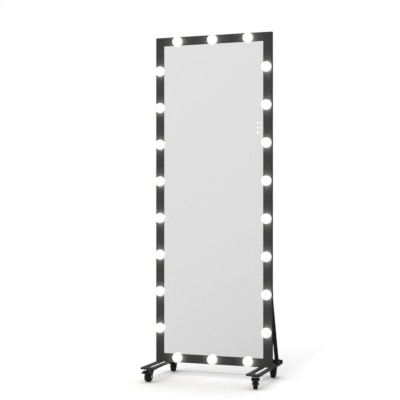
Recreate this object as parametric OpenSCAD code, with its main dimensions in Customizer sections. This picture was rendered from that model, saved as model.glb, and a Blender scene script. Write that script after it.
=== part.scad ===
// Rolling floor mirror: a tall glass in a folded steel frame with round lamps,
// standing on two ladder-shaped feet with four swivelling, braked casters.
// Millimetres. X runs across the mirror, -Y is its front and +Z is up.
// The origin lies on the floor, under the middle of the base.

/* [Mirror frame] */
// Width of the frame
frame_w = 595; // [570:5:680]
// Height of the frame
frame_h = 1600; // [1450:10:1800]
// Depth of the frame, face to back
frame_d = 22; // [21.5:0.5:28]
// Width of the frame's face
face_w = 42.5; // [41:0.5:50]
// Sheet steel of the frame
sheet_t = 1.5; // [1:0.1:2]
// Width of the folded edge along the frame's back
back_flange_w = 26; // [25.5:0.5:30]
// Radius of the fold along the face's outer edge
fold_r = 0.8; // [0.6:0.1:2]
// Distance of the frame's face ahead of the middle of the base
frame_forward = 2.5; // [-20:0.5:30]
// Leg of the angle brackets in the frame's corners
bracket_leg = 60; // [50:1:90]
// Width of the angle brackets
bracket_w = 16; // [14:1:18]
// Sheet of the angle brackets
bracket_t = 2; // [1.5:0.1:2.5]
// Distance of a bracket's screws from the ends of its legs
bracket_screw_end = 11; // [6:0.5:12]

/* [Glass and backing] */
// Thickness of the mirror glass
glass_t = 4; // [3:0.5:5]
// How far the glass reaches under the frame's face
glass_overlap = 6.5; // [4:0.5:6.5]
// Thickness of the foam tape between face and glass
tape_t = 0.5; // [0.3:0.1:1]
// Width of the foam tape
tape_w = 4; // [2:0.5:4.5]
// Thickness of the backing board
board_t = 3; // [2:0.5:4]
// How much the backing board is smaller than the glass, each side
board_inset = 1; // [0.5:0.5:4]
// Sheet of the rear cover
cover_t = 1.5; // [1:0.1:2]
// How far the rear cover lies over the frame's back
cover_lap = 5; // [4.5:0.5:5]
// Corner radius of the rear cover
cover_r = 6; // [2:1:20]
// Distance of the cover's outermost screws from the frame's ends
cover_screw_margin = 70; // [65:1:120]

/* [Lamps] */
// Diameter of a lamp globe
globe_d = 50; // [44:1:56]
// Distance of a globe's centre ahead of the frame's face
globe_forward = 8; // [4:0.5:12]
// Wall of a lamp globe
globe_wall = 1.8; // [1.2:0.1:2.5]
// Number of lamps up each side
side_lamps = 8; // [4:1:9]
// Number of lamps along the top, and along the bottom
rail_lamps = 3; // [1:2:3]
// Distance of the lamps' centres from the frame's outer edge
lamp_inset = 24.5; // [23:0.5:24.5]
// Height of the lowest side lamp above the frame's lower edge
lamp_margin = 166.5; // [120:0.5:220]
// Distance between lamps along the top and the bottom
rail_pitch = 181; // [120:1:190]
// Diameter of a lamp's neck
neck_d = 14; // [12:0.5:15]
// Length of a lamp's neck behind the frame's face
neck_l = 12; // [9:0.5:12.5]
// Diameter of a lamp holder's body
holder_d = 18; // [17:0.5:19]
// Diameter of a lamp holder's flange
holder_flange_d = 21; // [20:0.5:21.5]
// Length of a lamp holder
holder_l = 13.5; // [13:0.1:13.8]
// Thickness of the disc that closes a globe
base_t = 3; // [2:0.5:4]
// Diameter of the board that carries a lamp's light-emitting chips
led_board_d = 36; // [30:1:38]
// Diameter of the loom that links the lamp holders
loom_d = 3; // [2:0.5:3]

/* [Controls] */
// Distance from the frame's inner edge to the middle of the touch keys
touch_inset = 20.7; // [20:0.1:60]
// Height of the touch keys' middle above the frame's lower edge
touch_h = 1144; // [900:1:1250]
// Distance between the touch keys across
touch_pitch_x = 15.5; // [13:0.5:18]
// Distance between the touch keys up and down
touch_pitch_z = 22; // [15:0.5:26]
// Diameter of a touch key's pad
touch_pad_d = 11; // [8:0.5:12]
// Width of the touch board
touch_board_w = 32; // [31:1:36]
// Height of the touch board
touch_board_h = 70; // [66:1:90]
// Gap between touch board and dimmer box
dimmer_gap = 14; // [10:1:60]
// Thickness of the circuit boards
circuit_t = 1.6; // [1:0.1:2]
// Width of the dimmer box
dimmer_w = 42; // [30:1:60]
// Height of the dimmer box
dimmer_h = 96; // [60:1:130]
// Depth of the dimmer box
dimmer_d = 10.5; // [8:0.5:11.5]
// Distance of the power inlet from the frame's side
inlet_inset = 97; // [80:1:200]
// Height of the power inlet above the frame's lower edge
inlet_h = 120; // [80:1:300]
// Diameter of the power inlet's threaded body
inlet_d = 11; // [10:0.5:13]
// Diameter of the power inlet's mouth
inlet_mouth_d = 6; // [5.5:0.1:7]
// Diameter of the power inlet's centre pin
inlet_pin_d = 2; // [1.6:0.1:2.4]
// Depth of the power inlet's mouth
inlet_depth = 9; // [8:0.5:9.5]
// How far the power inlet's collar stands out of the cover
inlet_collar_t = 2; // [1.5:0.5:3]

/* [Feet] */
// Length of a foot, front to back
foot_l = 390; // [360:5:480]
// Width of a foot's bars and ties
bar_w = 20; // [18:1:25]
// Height of a foot's bars and ties
bar_h = 10; // [9.5:0.5:14]
// Width of the slot between a foot's two bars
slot_w = 28; // [24:1:34]
// Wall of the tubes
tube_t = 1.5; // [1.2:0.1:2]
// Corner radius of the tubes
tube_r = 2; // [1.6:0.1:2.5]
// Thickness of a tube cap's head
cap_t = 2; // [1:0.5:3]
// How deep a tube cap reaches into its tube
cap_depth = 5; // [3:0.5:6]
// Distance between the two bolts at each end of the crossbar
crossbar_bolt_pitch = 34; // [30:1:38]

/* [Rear stays] */
// Width of a stay
stay_w = 20; // [16:1:20]
// Thickness of a stay
stay_t = 3; // [2.5:0.5:4]
// Height of a stay's upper bend above the foot
stay_rise = 329; // [250:1:420]
// Distance of a stay's lower bend behind the middle of the base
stay_reach = 124; // [100:1:130]
// Length of the flats at a stay's ends
stay_flat = 34; // [30:1:36]
// Distance between the screws in a stay's flat
stay_screw_pitch = 20; // [16:1:22]

/* [Casters] */
// Height of a caster, floor to mounting plate
caster_h = 62; // [61.5:0.5:70]
// Distance of a caster's swivel axis from the foot's end
caster_inset = 39; // [39:1:60]
// Width of a caster's mounting plate, across the foot
plate_x = 60; // [58:1:66]
// Length of a caster's mounting plate, along the foot
plate_y = 38; // [37:1:38]
// Thickness of a caster's mounting plate
plate_t = 2; // [1.5:0.1:3]
// Distance between a plate's bolts along the foot
plate_bolt_pitch = 24; // [20:1:26]
// Diameter of a wheel
wheel_d = 50; // [48:0.5:50]
// Width of a wheel's tread
wheel_w = 22; // [18:0.5:22]
// Distance of the axle behind the swivel axis
trail = 16; // [14:0.5:18]
// Diameter of an axle
axle_d = 6; // [5:0.5:8]
// Diameter of a kingpin
kingpin_d = 8; // [6:0.5:9]
// Gap between a fork's legs
fork_gap = 24; // [24:0.5:25]
// Sheet steel of a fork
fork_t = 2.5; // [2:0.1:3]
// Diameter of a fork's round top
fork_top_d = 38; // [36:0.5:40]
// Diameter of a bearing ball
ball_d = 4; // [3.5:0.1:4.4]
// Diameter of the circle that the bearing balls stand on
ball_circle_d = 26; // [24:0.5:28]
// Number of bearing balls in a caster
ball_count = 14; // [8:1:15]
// Gap between mounting plate and fork
race_gap = 2.8; // [2.6:0.1:3]
// Length of a brake pedal's tread
pedal_l = 21; // [16:1:26]
// Width of a brake pedal's tread
pedal_w = 39; // [38:1:42]
// Sheet of a brake pedal
pedal_t = 1.5; // [1.2:0.1:2]
// Travel of a brake pedal in degrees, free to locked
pedal_travel = 15; // [12:1:16]
// Swivel of the front left caster in degrees
yaw_front_left = 352; // [0:1:359]
// Swivel of the front right caster in degrees
yaw_front_right = 17; // [0:1:359]
// Swivel of the rear left caster in degrees
yaw_rear_left = 8; // [0:1:359]
// Swivel of the rear right caster in degrees
yaw_rear_right = 4; // [0:1:359]

/* [Screws and clearances] */
// Diameter of the bolts in feet, stays and casters
bolt_d = 5; // [4:0.5:6]
// Width across flats of those bolts' heads
bolt_head_af = 8; // [7:0.5:9]
// Height of those bolts' heads
bolt_head_h = 3.5; // [2.5:0.5:4]
// Height of the nuts on those bolts
nut_h = 3; // [2.5:0.1:3.5]
// Diameter of the bolts between feet and frame
frame_bolt_d = 6; // [5:0.5:8]
// Diameter of the small screws in frame and cover
screw_d = 3; // [2.5:0.5:3.5]
// Diameter of the small screws' heads
screw_head_d = 5.5; // [5:0.5:6]
// Gap around a screw in its hole
screw_gap = 0.1; // [0.05:0.05:0.2]
// Gap around a shaft that turns in its hole
running_gap = 0.05; // [0.02:0.01:0.08]
// Gap between faces that move past each other
side_gap = 0.3; // [0.3:0.05:0.5]

/* [Hidden] */
$fn = 64;
far = 2000;  // longer than any piece, for cutting
edge_tuck = 0.01;

// Heights and places that follow from the sizes above.
foot_top = caster_h + bar_h;
foot_w = 2 * bar_w + slot_w;
foot_x = (frame_w - foot_w) / 2;
bar_x = (slot_w + bar_w) / 2;
face_y = -frame_forward;
back_y = face_y + frame_d;
caster_y = foot_l / 2 - caster_inset;

// Depths behind the frame's face.
lip_d = sheet_t + tape_t;
glass_back = lip_d + glass_t;
board_back = glass_back + board_t;
holder_back = sheet_t + holder_l;
loom_y = holder_back + side_gap + loom_d / 2;
cover_back = frame_d + cover_t;

glass_edge = face_w - glass_overlap;
glass_w = frame_w - 2 * glass_edge;
glass_h = frame_h - 2 * glass_edge;
cover_edge = back_flange_w - cover_lap;
touch_x = frame_w / 2 - face_w - touch_inset;
inlet_x = frame_w / 2 - inlet_inset;
dimmer_z = touch_h - touch_board_h / 2 - dimmer_gap - dimmer_h / 2;
screw_tip = loom_y + loom_d / 2 + side_gap;

// Heights in a caster above the floor, and places behind its swivel axis.
plate_under = caster_h - plate_t;
fork_top = plate_under - race_gap;
fork_under = fork_top - fork_t;
wheel_r = wheel_d / 2;
leg_out = fork_gap / 2 + fork_t;
hub_r = axle_d / 2 + 4.5;
tread_r = 4;
pivot_y = -trail - 9;
pivot_z = wheel_r + 19;
pivot_r = 2;
pedal_slope = 20;
pedal_y = pivot_y - 3;
pedal_z = pivot_z + 10.5;

CASTERS = [
  [-1, -1, yaw_front_left],
  [1, -1, yaw_front_right],
  [-1, 1, yaw_rear_left],
  [1, 1, yaw_rear_right],
];

steel = [0.22, 0.22, 0.23];
dark_zinc = [0.35, 0.35, 0.36];
bright_zinc = [0.7, 0.7, 0.72];
black = [0.1, 0.1, 0.1];
opal = [0.97, 0.97, 0.95];

// ---------------------------------------------------------------- helpers

// Where the outer tangent touches circle a, and circle b, each [x, y, r].
function tangent(a, b) =
  let (
    d = norm([b[0] - a[0], b[1] - a[1]]),
    angle = atan2(b[1] - a[1], b[0] - a[0]) - acos((a[2] - b[2]) / d),
    n = [cos(angle), sin(angle)]
  )
  [[a[0], a[1]] + a[2] * n, [b[0], b[1]] + b[2] * n];

// A band pulled tight round circles, which are listed anticlockwise. Its straight
// edges lie tuck inside the circles' tangents, so that every arc keeps clear ends.
module belt(circles, tuck = 0) {
  last = len(circles) - 1;
  pulled = [for (c = circles) [c[0], c[1], c[2] - tuck]];
  pairs = [for (i = [0:last]) tangent(pulled[i], pulled[i == last ? 0 : i + 1])];
  polygon([for (pair = pairs) each pair]);
  for (c = circles)
    translate([c[0], c[1]])
      circle(c[2]);
}

// A rectangle w by h about the origin, with its corners rounded to r.
module round_rect(w, h, r) {
  x = w / 2 - r;
  y = h / 2 - r;
  belt([[-x, -y, r], [x, -y, r], [x, y, r], [-x, y, r]]);
}

// A cylinder whose axis runs backwards from the frame's face.
module rod_back(d, from, to) {
  translate([0, from, 0])
    rotate([-90, 0, 0])
      cylinder(d = d, h = to - from);
}

// A cylinder along X about the origin, between two places on X.
module rod_across(d, from, to) {
  translate([from, 0, 0])
    rotate([0, 90, 0])
      cylinder(d = d, h = to - from);
}

// Turns a shape drawn in depth and height into a bar of that section along X.
module section_across(length) {
  translate([-length / 2, 0, 0])
    rotate([90, 0, 90])
      linear_extrude(length)
        children();
}

// A rectangular tube along X, centred on the origin.
module tube_across(length, depth, height) {
  section_across(length)
    difference() {
      round_rect(depth, height, tube_r);
      round_rect(depth - 2 * tube_t, height - 2 * tube_t, tube_r - tube_t);
    }
}

// A hexagon-headed bolt: its head lies below Z = 0 and its shank above.
module bolt(d, af, head_h, length) {
  washer_h = 1;
  translate([0, 0, -head_h])
    cylinder(d = af / cos(30), h = head_h - washer_h, $fn = 6);
  translate([0, 0, -washer_h])
    cylinder(d = af / cos(30) + 1, h = washer_h);
  cylinder(d = d, h = length);
}

// A hexagon nut on Z = 0, bored for a bolt of diameter d.
module nut(d, af, h) {
  difference() {
    cylinder(d = af / cos(30), h = h, $fn = 6);
    translate([0, 0, -1])
      cylinder(d = d + 2 * screw_gap, h = h + 2);
  }
}

// A round-headed screw: its head lies below Z = 0 and its shank above.
module screw(d, head_d, length) {
  head_h = 0.4 * head_d;
  recess_h = 0.5 * head_h;
  difference() {
    translate([0, 0, -head_h])
      cylinder(d1 = 0.6 * head_d, d2 = head_d, h = head_h);
    translate([0, 0, -head_h - 1])
      cylinder(d = 0.35 * head_d, h = recess_h + 1, $fn = 6);
  }
  cylinder(d = d, h = length);
}

// Places children at the mirror's frame: X and Z from its lower middle, Y from its face.
module at_frame() {
  translate([0, face_y, foot_top])
    children();
}

// Places children at each lamp of a side, which is -1 for left and 1 for right.
module at_side_lamps(side) {
  pitch = (frame_h - 2 * lamp_margin) / (side_lamps - 1);
  for (i = [0:side_lamps - 1])
    translate([side * (frame_w / 2 - lamp_inset), 0, lamp_margin + i * pitch])
      children();
}

// Places children at each lamp of a rail, whose lamps lie at height z.
module at_rail_lamps(z) {
  for (i = [0:rail_lamps - 1])
    translate([(i - (rail_lamps - 1) / 2) * rail_pitch, 0, z])
      children();
}

// Places children at every lamp.
module at_all_lamps() {
  at_side_lamps(-1) children();
  at_side_lamps(1) children();
  at_rail_lamps(lamp_inset) children();
  at_rail_lamps(frame_h - lamp_inset) children();
}

// Places children at both ends of the two bolts that hold each foot to the frame.
module at_frame_bolts() {
  for (side = [-1, 1], bar = [-1, 1])
    translate([side * foot_x + bar * bar_x, face_y + frame_d / 2, 0])
      children();
}

// Places children at the screws that hold the rear cover, from X and Z of the frame.
module at_cover_screws() {
  inset = back_flange_w - cover_lap / 2;
  reach = frame_h / 2 - cover_screw_margin;
  for (side = [-1, 1])
    for (k = [-2:2])
      translate([side * (frame_w / 2 - inset), 0, (frame_h + k * reach) / 2])
        children();
  for (z = [inset, frame_h - inset], k = [-1:1])
    translate([k * frame_w / 4, 0, z])
      children();
}

// Places children at the screws in the corner brackets.
module at_bracket_screws() {
  inset = sheet_t + side_gap + bracket_w / 2;
  for (sx = [-1, 1], sz = [-1, 1])
    translate([sx * frame_w / 2, 0, frame_h / 2 + sz * frame_h / 2])
      for (along = [bracket_w + bracket_screw_end, bracket_leg - bracket_screw_end]) {
        translate([-sx * inset, 0, -sz * along])
          children();
        translate([-sx * along, 0, -sz * inset])
          children();
      }
}

// Places children at the screws in the upper flats of the stays, from the frame.
module at_stay_top_screws() {
  for (side = [-1, 1], k = [-1, 1])
    translate([
      side * (frame_w - stay_w) / 2,
      0,
      stay_rise + stay_flat / 2 + k * stay_screw_pitch / 2
    ])
      children();
}

// Places children at the screws in the lower flats of the stays, from the base.
module at_stay_foot_screws() {
  for (side = [-1, 1], k = [-1, 1])
    translate([
      side * (frame_w - stay_w) / 2,
      stay_reach + stay_flat / 2 + k * stay_screw_pitch / 2,
      foot_top
    ])
      children();
}

// Places children at the bolts through the crossbar and the rear ties.
module at_crossbar_bolts() {
  for (side = [-1, 1], k = [-1, 1])
    translate([
      side * foot_x + k * crossbar_bolt_pitch / 2,
      (foot_l - bar_w) / 2,
      0
    ])
      children();
}

// Places children under each caster's swivel axis, unturned.
module at_casters() {
  for (c = CASTERS)
    translate([c[0] * foot_x, c[1] * caster_y, 0])
      children();
}

// Places children at one caster, turned as it stands.
module at_caster(side, end, yaw) {
  translate([side * foot_x, end * caster_y, 0])
    rotate([0, 0, yaw])
      children();
}

// Places children at the four bolts of a caster's plate.
module at_plate_bolts() {
  for (x = [-bar_x, bar_x], y = [-1, 1])
    translate([x, y * plate_bolt_pitch / 2, 0])
      children();
}

// ---------------------------------------------------------------- mirror frame

// Section of the frame: depth behind the face on X, distance from the outer edge on Y.
module frame_section() {
  difference() {
    union() {
      translate([fold_r, 0])
        square([frame_d - fold_r, face_w]);
      translate([0, fold_r])
        square([frame_d, face_w - fold_r]);
      translate([fold_r, fold_r])
        circle(fold_r);
    }
    translate([sheet_t, sheet_t])
      square([frame_d - 2 * sheet_t, face_w]);
    translate([sheet_t, back_flange_w])
      square([frame_d, face_w]);
  }
  translate([0, face_w - sheet_t])
    square([lip_d, sheet_t]);
}

// A length of frame along X, outer edge down, with both ends cut to the mitre.
module frame_bar(length) {
  difference() {
    section_across(length)
      frame_section();
    for (end = [-1, 1])
      scale([end, 1, 1])
        translate([length / 2, -1, 0])
          rotate([0, -45, 0])
            translate([0, 0, -far / 2])
              cube([far, frame_d + 2, far]);
  }
}

// Every hole that passes through a piece of the frame.
module frame_holes() {
  at_all_lamps()
    rod_back(neck_d + 1, -1, sheet_t + 1);
  at_cover_screws()
    rod_back(screw_d + 2 * screw_gap, frame_d - sheet_t - 1, cover_back + 1);
  at_bracket_screws()
    rod_back(screw_d + 2 * screw_gap, frame_d - sheet_t - 1, frame_d + 1);
  at_stay_top_screws()
    rod_back(bolt_d + 2 * screw_gap, frame_d - sheet_t - 1, frame_d + 1);
  translate([0, -face_y, -foot_top])
    at_frame_bolts()
      translate([0, 0, foot_top - 1])
        cylinder(d = frame_bolt_d + 2 * screw_gap, h = sheet_t + 2);
}

module stile(side) {
  color(steel)
    at_frame()
      difference() {
        translate([side * frame_w / 2, 0, frame_h / 2])
          rotate([0, -side * 90, 0])
            frame_bar(frame_h);
        frame_holes();
      }
}

module left_stile() {
  stile(-1);
}

module right_stile() {
  stile(1);
}

module top_rail() {
  color(steel)
    at_frame()
      difference() {
        translate([0, 0, frame_h])
          rotate([0, 180, 0])
            frame_bar(frame_w);
        frame_holes();
      }
}

module bottom_rail() {
  color(steel)
    at_frame()
      difference() {
        frame_bar(frame_w);
        frame_holes();
      }
}

// Angle plates that lie inside the folded back, one in each corner.
module corner_brackets() {
  inset = sheet_t + side_gap;
  color(dark_zinc)
    at_frame()
      difference() {
        for (sx = [-1, 1], sz = [-1, 1])
          translate([0, frame_d - sheet_t, frame_h / 2])
            scale([sx, 1, sz])
              translate([inset - frame_w / 2, 0, inset - frame_h / 2])
                rotate([90, 0, 0])
                  linear_extrude(bracket_t) {
                    square([bracket_leg, bracket_w]);
                    square([bracket_w, bracket_leg]);
                  }
        at_bracket_screws()
          rod_back(screw_d + 2 * screw_gap, 0, frame_d + 1);
      }
}

module frame_screws() {
  color(dark_zinc)
    at_frame() {
      at_cover_screws()
        translate([0, cover_back, 0])
          rotate([90, 0, 0])
            screw(screw_d, screw_head_d, cover_back - screw_tip);
      at_bracket_screws()
        translate([0, frame_d, 0])
          rotate([90, 0, 0])
            screw(screw_d, screw_head_d, sheet_t + bracket_t + 2);
    }
}

// ---------------------------------------------------------------- glass and backing

module mirror_glass() {
  color([0.85, 0.87, 0.88])
    at_frame()
      translate([-glass_w / 2, lip_d, glass_edge])
        cube([glass_w, glass_t, glass_h]);
}

// A ring of foam between the face and the glass, just inside the face's lip.
module glass_tape() {
  outer_w = frame_w - 2 * (face_w - sheet_t - tape_w);
  outer_h = frame_h - 2 * (face_w - sheet_t - tape_w);
  color(black)
    at_frame()
      translate([0, lip_d, frame_h / 2])
        rotate([90, 0, 0])
          linear_extrude(tape_t)
            difference() {
              square([outer_w, outer_h], center = true);
              square([outer_w - 2 * tape_w, outer_h - 2 * tape_w], center = true);
            }
}

// The board glued behind the glass, with a window for the touch board.
module backing_board() {
  w = glass_w - 2 * board_inset;
  h = glass_h - 2 * board_inset;
  window_gap = 1;
  color([0.45, 0.33, 0.22])
    at_frame()
      difference() {
        translate([-w / 2, glass_back, glass_edge + board_inset])
          cube([w, board_t, h]);
        translate([touch_x, board_back + 1, touch_h])
          rotate([90, 0, 0])
            linear_extrude(board_t + 2)
              square([touch_board_w + 2 * window_gap, touch_board_h + 2 * window_gap],
                     center = true);
      }
}

// The sheet screwed over the frame's back, holed for the power inlet.
module rear_cover() {
  color(black)
    at_frame()
      difference() {
        translate([0, cover_back, frame_h / 2])
          rotate([90, 0, 0])
            linear_extrude(cover_t)
              round_rect(frame_w - 2 * cover_edge, frame_h - 2 * cover_edge, cover_r);
        at_cover_screws()
          rod_back(screw_d + 2 * screw_gap, frame_d - 1, cover_back + 1);
        translate([inlet_x, 0, inlet_h])
          rod_back(inlet_d + 2 * screw_gap, frame_d - 1, cover_back + 1);
      }
}

// ---------------------------------------------------------------- lamps

// Half section of a globe: radius on X, distance ahead of the frame's face on Y.
module globe_section() {
  intersection() {
    translate([0, globe_forward])
      difference() {
        circle(d = globe_d);
        circle(d = globe_d - 2 * globe_wall);
      }
    square([globe_d, 2 * globe_d]);
  }
}

// An opal dome: a hollow ball cut off flat where it sits on the frame's face.
module globe() {
  rotate([90, 0, 0])
    rotate_extrude()
      globe_section();
}

module left_globes() {
  color(opal)
    at_frame()
      at_side_lamps(-1)
        globe();
}

module right_globes() {
  color(opal)
    at_frame()
      at_side_lamps(1)
        globe();
}

module top_globes() {
  color(opal)
    at_frame()
      at_rail_lamps(frame_h - lamp_inset)
        globe();
}

module bottom_globes() {
  color(opal)
    at_frame()
      at_rail_lamps(lamp_inset)
        globe();
}

// The disc that closes each dome, with the neck that passes through the face.
module lamp_bases() {
  inner_r = globe_d / 2 - globe_wall;
  disc_r = sqrt(pow(inner_r, 2) - pow(globe_forward, 2)) - side_gap;
  color([0.9, 0.9, 0.9])
    at_frame()
      at_all_lamps() {
        rod_back(2 * disc_r, -base_t, 0);
        rod_back(neck_d, -base_t, neck_l);
      }
}

// A round board on each base, with a ring of light-emitting chips.
module lamp_led_boards() {
  chips = 6;
  chip = 3;
  color([0.95, 0.95, 0.9])
    at_frame()
      at_all_lamps() {
        rod_back(led_board_d, -base_t - circuit_t, -base_t);
        for (i = [0:chips - 1])
          rotate([0, i * 360 / chips, 0])
            translate([led_board_d / 2 - 1.5 * chip, -base_t - circuit_t, 0])
              cube([chip, 1, chip], center = true);
      }
}

// A socket behind the face for each lamp's neck, with two soldering tags.
module lamp_holders() {
  flange_t = 1.5;
  tag = [4, loom_d, 0.8];
  tag_off = holder_d / 2 - 3.5;
  color([0.85, 0.83, 0.75])
    at_frame()
      at_all_lamps() {
        difference() {
          union() {
            rod_back(holder_flange_d, sheet_t, sheet_t + flange_t);
            rod_back(holder_d, sheet_t, holder_back);
          }
          rod_back(neck_d + 4 * running_gap, sheet_t - 1, neck_l + side_gap);
        }
        for (z = [-1, 1], x = [-1, 1])
          translate([x * tag_off, holder_back + tag[1] / 2, z * tag_off])
            cube(tag, center = true);
      }
}

// A quarter of a ring, from +X to +Z in the plane of the frame.
module loom_bend(r) {
  rotate([90, 0, 0])
    rotate_extrude(angle = 90)
      translate([r, 0])
        circle(d = loom_d);
}

// The cable ring behind the holders, and the leads to inlet, dimmer and touch board.
module wiring_loom() {
  bend_r = 14;
  x = frame_w / 2 - lamp_inset;
  z = frame_h / 2 - lamp_inset;
  inlet_top = inlet_h + inlet_d / 2 + side_gap;
  color(black)
    at_frame() {
      translate([0, loom_y, frame_h / 2]) {
        for (side = [-1, 1]) {
          translate([side * x, 0, bend_r - z])
            cylinder(d = loom_d, h = 2 * (z - bend_r));
          translate([0, 0, side * z])
            rod_across(loom_d, bend_r - x, x - bend_r);
        }
        for (sx = [-1, 1], sz = [-1, 1])
          translate([sx * (x - bend_r), 0, sz * (z - bend_r)])
            rotate([0, sx * sz > 0 ? (sx > 0 ? 0 : 180) : (sx > 0 ? 90 : -90), 0])
              loom_bend(bend_r);
      }
      translate([0, loom_y, dimmer_z])
        rod_across(loom_d, touch_x + dimmer_w / 2, x);
      translate([inlet_x, loom_y, inlet_top])
        cylinder(d = loom_d, h = dimmer_z - dimmer_h / 2 - inlet_top);
      translate([touch_x, loom_y, dimmer_z + dimmer_h / 2])
        cylinder(d = loom_d, h = touch_h - dimmer_z - dimmer_h / 2);
    }
}

// ---------------------------------------------------------------- controls

// The board behind the glass, with a pad for each touch key and a plug at its back.
module touch_board() {
  pad_t = 0.4;
  plug = [12, loom_y - loom_d / 2 - glass_back - pad_t - circuit_t, 8];
  color([0.1, 0.35, 0.2])
    at_frame()
      translate([touch_x, glass_back, touch_h]) {
        for (i = [-1, 1], k = [-1:1])
          translate([i * touch_pitch_x / 2, 0, k * touch_pitch_z])
            rod_back(touch_pad_d, 0, pad_t);
        translate([0, pad_t + circuit_t, 0])
          rotate([90, 0, 0])
            linear_extrude(circuit_t)
              round_rect(touch_board_w, touch_board_h, 2);
        translate([-plug[0] / 2, pad_t + circuit_t, -plug[2] / 2])
          cube(plug);
      }
}

// The moulded box that dims and times the lamps, glued to the backing board.
module dimmer_box() {
  foot_t = 2;
  foot_out = 5;
  color(black)
    at_frame()
      translate([touch_x, board_back, dimmer_z])
        rotate([-90, 0, 0]) {
          linear_extrude(dimmer_d)
            round_rect(dimmer_w, dimmer_h, 3);
          linear_extrude(foot_t)
            round_rect(dimmer_w, dimmer_h + 2 * foot_out, foot_out);
        }
}

// A low-voltage socket in the rear cover: collar outside, pin inside its mouth.
module power_inlet() {
  floor_t = 1.5;
  mouth_back = inlet_collar_t - inlet_depth;
  color(bright_zinc)
    at_frame()
      translate([inlet_x, cover_back, inlet_h]) {
        difference() {
          union() {
            rod_back(inlet_d + 4, 0, inlet_collar_t);
            rod_back(inlet_d, mouth_back - floor_t, inlet_collar_t);
          }
          rod_back(inlet_mouth_d, mouth_back, inlet_collar_t + 1);
        }
        rod_back(inlet_pin_d, mouth_back, inlet_collar_t - 1);
      }
}

module inlet_nut() {
  color(bright_zinc)
    at_frame()
      translate([inlet_x, frame_d, inlet_h])
        rotate([90, 0, 0])
          nut(inlet_d, inlet_d + 3, 2.5);
}

// ---------------------------------------------------------------- feet

// A bar of a foot, from tie to tie; bar is -1 for its left bar and 1 for its right.
module foot_bar(side, bar) {
  length = foot_l - 2 * bar_w;
  color(steel)
    difference() {
      translate([side * foot_x + bar * bar_x, 0, foot_top - bar_h / 2])
        rotate([0, 0, 90])
          tube_across(length, bar_w, bar_h);
      at_frame_bolts()
        translate([0, 0, caster_h - 1])
          cylinder(d = frame_bolt_d + 2 * screw_gap, h = bar_h + 2);
      at_stay_foot_screws()
        translate([0, 0, -tube_t - 1])
          cylinder(d = bolt_d + 2 * screw_gap, h = tube_t + 2);
      at_casters()
        at_plate_bolts()
          translate([0, 0, caster_h - 1])
            cylinder(d = bolt_d + 2 * screw_gap, h = tube_t + 2);
    }
}

module left_outer_bar() {
  foot_bar(-1, -1);
}

module left_inner_bar() {
  foot_bar(-1, 1);
}

module right_outer_bar() {
  foot_bar(1, 1);
}

module right_inner_bar() {
  foot_bar(1, -1);
}

// The tube that closes a foot's front (-1) or rear (1) end, its own ends capped.
module tie(side, end) {
  color(steel)
    difference() {
      translate([side * foot_x, end * (foot_l - bar_w) / 2, foot_top - bar_h / 2])
        tube_across(foot_w - 2 * cap_t, bar_w, bar_h);
      at_crossbar_bolts()
        translate([0, 0, caster_h - 1])
          cylinder(d = bolt_d + 2 * screw_gap, h = bar_h + 2);
    }
}

module left_front_tie() {
  tie(-1, -1);
}

module left_rear_tie() {
  tie(-1, 1);
}

module right_front_tie() {
  tie(1, -1);
}

module right_rear_tie() {
  tie(1, 1);
}

// The long tube across the rear ends of both feet.
module rear_crossbar() {
  color(steel)
    difference() {
      translate([0, (foot_l - bar_w) / 2, foot_top + bar_h / 2])
        tube_across(frame_w - 2 * cap_t, bar_w, bar_h);
      at_crossbar_bolts()
        translate([0, 0, foot_top - 1])
          cylinder(d = bolt_d + 2 * screw_gap, h = bar_h + 2);
    }
}

// A push-in cap: its head closes a tube that ends at X = 0 and comes from -X.
module tube_cap() {
  gap = 0.1;
  rim = 0.15;
  rotate([90, 0, 90]) {
    linear_extrude(cap_t)
      round_rect(bar_w - 2 * rim, bar_h - 2 * rim, tube_r);
    translate([0, 0, -cap_depth])
      linear_extrude(cap_depth)
        round_rect(bar_w - 2 * tube_t - 2 * gap, bar_h - 2 * tube_t - 2 * gap, 0.4);
  }
}

module tube_caps() {
  head_x = foot_w / 2 - cap_t;
  color(black) {
    for (side = [-1, 1], end = [-1, 1], out = [-1, 1])
      translate([
        side * foot_x + out * head_x,
        end * (foot_l - bar_w) / 2,
        foot_top - bar_h / 2
      ])
        rotate([0, 0, out > 0 ? 0 : 180])
          tube_cap();
    for (out = [-1, 1])
      translate([out * (frame_w / 2 - cap_t), (foot_l - bar_w) / 2, foot_top + bar_h / 2])
        rotate([0, 0, out > 0 ? 0 : 180])
          tube_cap();
  }
}

// ---------------------------------------------------------------- rear stays

// A flat bar bent at both ends, drawn from the side: Y to the back and Z up.
module stay_outline() {
  half = stay_t / 2;
  top = foot_top + stay_rise;
  low_z = foot_top + half;
  high_y = back_y + half;
  belt([[high_y, top, half], [high_y, top + stay_flat - half, half]]);
  belt([[high_y, top, half], [stay_reach, low_z, half]]);
  belt([[stay_reach, low_z, half], [stay_reach + stay_flat - half, low_z, half]]);
}

module stay(side) {
  color(steel)
    difference() {
      translate([side * (frame_w - stay_w) / 2, 0, 0])
        section_across(stay_w)
          stay_outline();
      at_frame()
        at_stay_top_screws()
          rod_back(bolt_d + 2 * screw_gap, frame_d - 1, frame_d + stay_t + 1);
      at_stay_foot_screws()
        translate([0, 0, -1])
          cylinder(d = bolt_d + 2 * screw_gap, h = stay_t + 2);
    }
}

module left_stay() {
  stay(-1);
}

module right_stay() {
  stay(1);
}

// ---------------------------------------------------------------- bolts

// Bolts up through the feet, each with a nut on the inside of the bottom rail.
module frame_bolts() {
  af = bolt_head_af + 2;
  tall_nut_h = 5;
  color(bright_zinc)
    at_frame_bolts() {
      translate([0, 0, caster_h])
        bolt(frame_bolt_d, af, bolt_head_h, bar_h + sheet_t + tall_nut_h + 1);
      translate([0, 0, foot_top + sheet_t])
        nut(frame_bolt_d, af, tall_nut_h);
    }
}

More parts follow.
